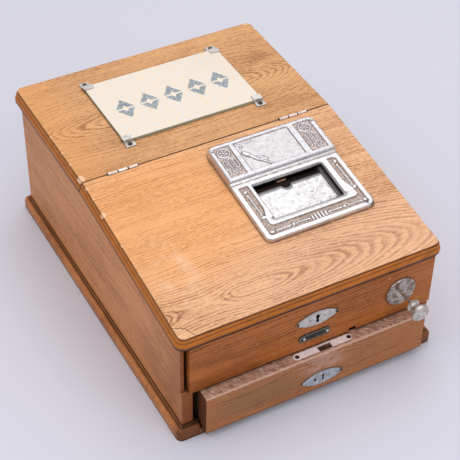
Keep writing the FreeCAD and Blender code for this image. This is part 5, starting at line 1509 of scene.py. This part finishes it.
def rosette_mesh():
    """A disc of rings and spokes lifted by its height, with a skirt to the panel."""
    angles = np.arange(SPOKES) * 2 * math.pi / SPOKES
    mesh = bmesh.new()
    layer = mesh.verts.layers.float.new("recess")
    heights = np.array([rosette_height(RADII, angle) for angle in angles])
    hollow = np.clip((blurred(heights, 2) - heights) / 0.35, 0, 1)
    rows = []
    for angle, row_heights, row_hollow in zip(angles, heights, hollow):
        row = []
        for radius, height, value in zip(RADII, row_heights, row_hollow):
            vert = mesh.verts.new(((ROD_X + radius * math.cos(angle)) * MM,
                                   (PANEL_FACE - height) * MM,
                                   (ROD_Z + radius * math.sin(angle)) * MM))
            vert[layer] = value * (radius < 20)
            row.append(vert)
        rows.append(row)
    for this, following in zip(rows, rows[1:] + rows[:1]):
        join_rows(mesh, this, following)
    for vert in skirt_verts(mesh):
        vert.co.y = (PANEL_FACE - 0.02) * MM
    bmesh.ops.bridge_loops(mesh, edges=open_edges(mesh))
    bmesh.ops.recalc_face_normals(mesh, faces=mesh.faces)
    return mesh


def painted_reflections(tree, colour, point):
    """Two painted brown reflections, left and right of the rod."""
    ragged = patches(tree, point, (0.44, 0.58), 420, detail=3, rough=0.6)
    spots = any_of(tree, *[near(tree, point, ((ROD_X + side) * MM, PANEL_FACE * MM, ROD_Z * MM),
                                (0.0046, 0.02, 0.0062)) for side in REFLECTION_SIDES])
    # Painted reflection: two brown patches on the polished plate.
    return layered(tree, colour, (times(tree, spots, ragged), 0.85, (104, 78, 60)))


rosette_metal = plated_material("rosette_metal", {
    "Bright": (204, 193, 185), "Dull": (124, 107, 96), "Deposit": (60, 42, 32),
    "Deposit Amount": 1.0, "Speckle": 0.7, "Metal": 0.95, "Polish": 0.1}, painted_reflections,
    bump=0.12, recess="recess")
finish_piece(rosette_mesh(), "pressed_rosette", rosette_metal, "case",
             replaces=["knob_rosette"])

# %% Finish the badge
BADGE_X, BADGE_Z, BADGE_STRAIGHT, BADGE_RIM = 0.004, 0.089, 0.0155, 0.0044

material, tree, shader, point, _ = start_material("badge_black")
x, _, z = split(tree, point)
reach = any_of(tree, calc(tree, "SUBTRACT", away(tree, x, BADGE_X), BADGE_STRAIGHT), 0.0)
drop = calc(tree, "SUBTRACT", z, BADGE_Z)
gap = calc(tree, "SQRT", calc(tree, "ADD", times(tree, reach, reach), times(tree, drop, drop)))
worn = patches(tree, point, (0.52, 0.62), 300, detail=4, rough=0.7)
bare = any_of(tree, line_at(tree, gap, BADGE_RIM, 0.0003, 0.0004), times(tree, worn, 0.3))
feed(tree, shader, {"Base Color": mix(tree, bare, rgb(20, 21, 18), rgb(142, 144, 130)),
                    "Metallic": times(tree, bare, 0.9), "Roughness": 0.4})
coat_nodes(material, "blank_badge")

# %% [markdown]
# ## The two springs
#
# A coil behind the front panel pushes the knob out again. The rod's collar bears on its front end
# and a guide plate on its rear end, so the coil has to shorten as the knob goes in. Here the coil
# is wound to fill the CAD spring's box.
#
# A bowed strip on the case's back kicks the drawer open. It can't be squashed, because the closed
# drawer is at the shorter end of its joint and a squash follows the longer one. So the strip is
# drawn as flat as the closed drawer presses it, which clears the drawer wherever it stands.

# %% Wind the knob's spring
SPRING_TURNS, TURN_STEPS, SPRING_WIRE, SPRING_TRAVEL = 8, 20, 0.55 * MM, 0.020


def swept(mesh, rings):
    """Join closed rings of vertices into a tube, and close both of its ends."""
    for before, after in zip(rings, rings[1:]):
        for side in range(len(before)):
            mesh.faces.new((before[side], before[side - 1], after[side - 1], after[side]))
    mesh.faces.new(rings[0])
    mesh.faces.new(reversed(rings[-1]))
    bmesh.ops.recalc_face_normals(mesh, faces=mesh.faces)
    return mesh


def coil_mesh(low, high, wire):
    """A round wire wound along Y so that it fills a box."""
    mesh, rings = bmesh.new(), []
    middle, radius = (low + high) / 2, (high.x - low.x) / 2 - wire
    first, run = low.y + wire, high.y - low.y - 2 * wire
    steps = SPRING_TURNS * TURN_STEPS
    for index in range(steps + 1):
        turn = index * math.tau / TURN_STEPS
        out = Vector((math.cos(turn), 0, math.sin(turn)))
        place = Vector((middle.x, first + run * index / steps, middle.z)) + out * radius
        rings.append([mesh.verts.new(place + wire * (out * math.cos(a) + Vector((0, 1, 0))
                                                     * math.sin(a)))
                      for a in np.linspace(0, math.tau, 8, endpoint=False)])
    return swept(mesh, rings)


low, high = (Vector(corner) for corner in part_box("plunger_spring"))
spring = finish_piece(coil_mesh(low, high, SPRING_WIRE), "knob_spring", metals["dull_steel"],
                      "case", replaces=["plunger_spring"])
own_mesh(spring)

# %% Bend the drawer's spring
PRESSED_BY, STRIP_THICK = 0.0164, 0.001


def bow_mesh(low, high):
    """A strip bowed out from the back of the case, between the ends of a box."""
    mesh, rings = bmesh.new(), []
    half, rise = (high.x - low.x) / 2, high.y - low.y - PRESSED_BY
    for x in np.linspace(-half, half, 41):
        face = high.y - rise * (1 - (x / half) ** 2)
        place = (low.x + high.x) / 2 + x
        rings.append([mesh.verts.new((place, y, z)) for y, z in (
            (face, low.z), (face, high.z), (face + STRIP_THICK, high.z),
            (face + STRIP_THICK, low.z))])
    return swept(mesh, rings)


low, high = (Vector(corner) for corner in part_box("drawer_spring"))
high.y -= STRIP_THICK
finish_piece(bow_mesh(low, high), "kick_spring", metals["dull_steel"], "case",
             replaces=["drawer_spring"])
print("the pressed strip stands", round((high.y - low.y - PRESSED_BY) / MM, 1), "mm proud")

# %% [markdown]
# ## The floor
#
# A pale floor catches the soft shadow. It is one plane, marked as stage so that it isn't counted
# as part of the till.

# %% Lay the floor
FLOOR_HALF = 16

floor_material, _, shader, _, _ = start_material("studio_floor")
shader.inputs["Base Color"].default_value = rgb(214, 214, 224)
shader.inputs["Roughness"].default_value = 0.9
floor_mesh = bmesh.new()
bmesh.ops.create_grid(floor_mesh, x_segments=2, y_segments=2, size=FLOOR_HALF)
floor = mesh_object(floor_mesh, "floor", floor_material)
floor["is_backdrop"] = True

# %% Sizes and finish
low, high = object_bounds()
print("visual box", [round(v, 4) for v in (*low, *high)])
